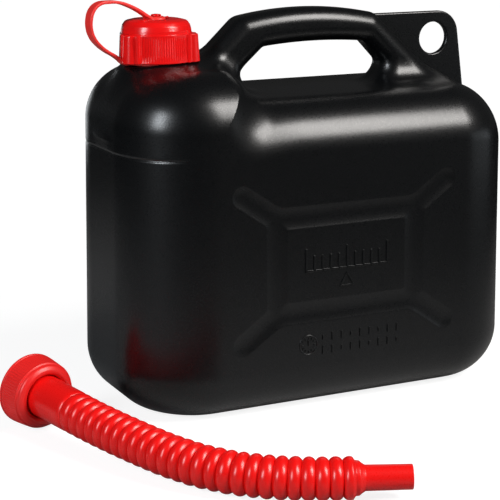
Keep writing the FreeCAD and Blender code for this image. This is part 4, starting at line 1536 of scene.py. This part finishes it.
@dataclass
class Studio:
    """Camera, floor, backdrop and soft lamps."""

    camera_place: Corner = (-0.5669, -1.0763, 0.3938)
    camera_looks: Corner = (0.42876, 0.87289, -0.23285)
    lens: float = 115.32
    middle: Vector = field(default_factory=lambda: Vector((0.0, 0.0, 0.15)))
    ambient: float = 0.04
    floor_size: float = 12.0
    floor_shade: float = 0.3
    # Painted light on the floor, centred here: a pale pool seen only in reflections and a glow seen only by
    # the camera, both fading with distance.
    painted_light_middle: Point = (-0.15, 0.12)
    painted_pool_reach: Point = (0.25, 0.85)
    painted_pool: Point = (0.42, 0.01)
    painted_glow_reach: Point = (0.3, 2.2)
    painted_glow: Point = (0.86, 1.0)
    lamps: list[Lamp] = field(
        default_factory=lambda: [
            Lamp("key_window", -54.0, 39.0, 1.9, (0.78, 1.02), 41.0, (1.0, 0.97, 0.94)),
            Lamp("left_strip", -157.0, 22.0, 1.6, (0.36, 0.74), 14.5, (0.9, 0.95, 1.0)),
            Lamp("right_card", -26.0, -1.0, 1.5, (1.1, 0.3), 0.9, (0.88, 0.95, 1.0)),
            Lamp("back_card", 96.0, -1.0, 1.2, (0.3, 0.32), 0.5, (0.92, 0.97, 1.0)),
        ]
    )

    def camera(self) -> None:
        """Puts the camera in place."""
        data = bpy.data.cameras.new("camera")
        data.lens = self.lens
        data.sensor_width = 36.0
        eye = bpy.data.objects.new("camera", data)
        eye.location = self.camera_place
        eye.rotation_euler = Vector(self.camera_looks).to_track_quat("-Z", "Y").to_euler()
        bpy.context.scene.collection.objects.link(eye)
        bpy.context.scene.camera = eye

    def light(self) -> None:
        """Hangs the soft lamps."""
        for lamp in self.lamps:
            data = bpy.data.lights.new(lamp.name, "AREA")
            data.shape = "RECTANGLE"
            data.size, data.size_y = lamp.size
            data.energy = lamp.power
            data.color = lamp.color
            hung = bpy.data.objects.new(lamp.name, data)
            way = lamp.way()
            hung.location = self.middle + way * lamp.distance
            hung.rotation_euler = (-way).to_track_quat("-Z", "Y").to_euler()
            bpy.context.scene.collection.objects.link(hung)

    def surroundings(self) -> None:
        """Makes the white surroundings: seen as white, and dimmer as light."""
        world = bpy.data.worlds.new("studio")
        bpy.context.scene.world = world
        world.use_nodes = True
        tree, link = world.node_tree, world.node_tree.links.new
        tree.nodes.clear()
        seen = added(tree, "ShaderNodeBackground", Color=WHITE)
        lit = added(tree, "ShaderNodeBackground", Color=WHITE, Strength=self.ambient)
        path = added(tree, "ShaderNodeLightPath")
        mix = added(tree, "ShaderNodeMixShader")
        link(path.outputs["Is Camera Ray"], mix.inputs["Fac"])
        link(lit.outputs["Background"], mix.inputs[1])
        link(seen.outputs["Background"], mix.inputs[2])
        link(mix.outputs["Shader"], added(tree, "ShaderNodeOutputWorld").inputs["Surface"])

    def floor(self) -> None:
        """Lays the pale floor. In reflections it shows a painted pool of light, pale near the object and near
        black far out; to the camera it shows a painted glow, dimmer near the object.
        """
        deselect()
        bpy.ops.mesh.primitive_plane_add(size=self.floor_size, location=(*self.painted_light_middle, 0.0))
        ground = bpy.context.object
        ground.name = "floor"
        paint = bpy.data.materials.new("pale_floor")
        paint.use_nodes = True
        tree, link = paint.node_tree, paint.node_tree.links.new
        shader = tree.nodes["Principled BSDF"]
        shader.inputs["Roughness"].default_value = 0.9
        shader.inputs["Specular IOR Level"].default_value = 0.1
        shader.inputs["Emission Color"].default_value = WHITE
        away = added(tree, "ShaderNodeVectorMath")
        away.operation = "LENGTH"
        link(added(tree, "ShaderNodeTexCoord").outputs["Object"], away.inputs[0])

        def fading(reach: Point, shades: Point) -> bpy.types.Node:
            """A value that goes from the first shade to the second over a reach of distances."""
            (near, far), (first, last) = reach, shades
            fade = added(tree, "ShaderNodeMapRange", From_Min=near, From_Max=far, To_Min=first, To_Max=last)
            link(away.outputs["Value"], fade.inputs["Value"])
            return fade

        # Painted light: the camera sees the floor glow. It is a white backdrop in part, but dimmer near the
        # object so that its shadow shows, and full white far out where the lamps fall off.
        fade = fading(self.painted_glow_reach, self.painted_glow)
        fade.interpolation_type = "SMOOTHSTEP"
        # Painted reflection: glossy rays see a pale pool of light near the object, fading to near black far
        # out.
        pool = fading(self.painted_pool_reach, self.painted_pool)
        path = added(tree, "ShaderNodeLightPath")
        shade = added(tree, "ShaderNodeMix", A=self.floor_shade)
        link(path.outputs["Is Glossy Ray"], shade.inputs["Factor"])
        link(pool.outputs["Result"], shade.inputs["B"])
        link(shade.outputs["Result"], shader.inputs["Base Color"])
        glow = added(tree, "ShaderNodeMath")
        glow.operation = "MULTIPLY"
        link(path.outputs["Is Camera Ray"], glow.inputs[0])
        link(fade.outputs["Result"], glow.inputs[1])
        link(glow.outputs["Value"], shader.inputs["Emission Strength"])
        ground.data.materials.append(paint)

    def build(self) -> None:
        """Sets the whole studio up."""
        self.camera()
        self.light()
        self.surroundings()
        self.floor()
        bpy.context.scene.view_settings.view_transform = "Standard"


def corners(box: tuple[Vector, Vector]) -> list[list[float]]:
    """A box as plain lists."""
    return [list(corner) for corner in box]


def main() -> None:
    """Builds the can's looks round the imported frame."""
    logging.basicConfig(level=logging.INFO, format="%(name)s: %(message)s")
    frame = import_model()
    black = CAN_BLACK.material()
    cap_red, strap_red = CAP_RED.material(), STRAP_RED.material()
    can = JerryCan()
    can.build(black)
    FrontMarks(can).build(black)
    Lug().build(black)
    Neck().build(black)
    ScrewCap().build(cap_red)
    Tether().build(strap_red)
    line = SpoutLine.from_joints(frame["joints"])
    Spout(line).build(SPOUT_RED.material())
    SpoutNut(line).build(NUT_RED.material())
    seal = SEAL_GREY.material()
    for name in ("cap_gasket", "spout_seal"):
        dressed(frame["nodes"][name], seal)
    Studio().build()


if __name__ == "__main__":
    main()
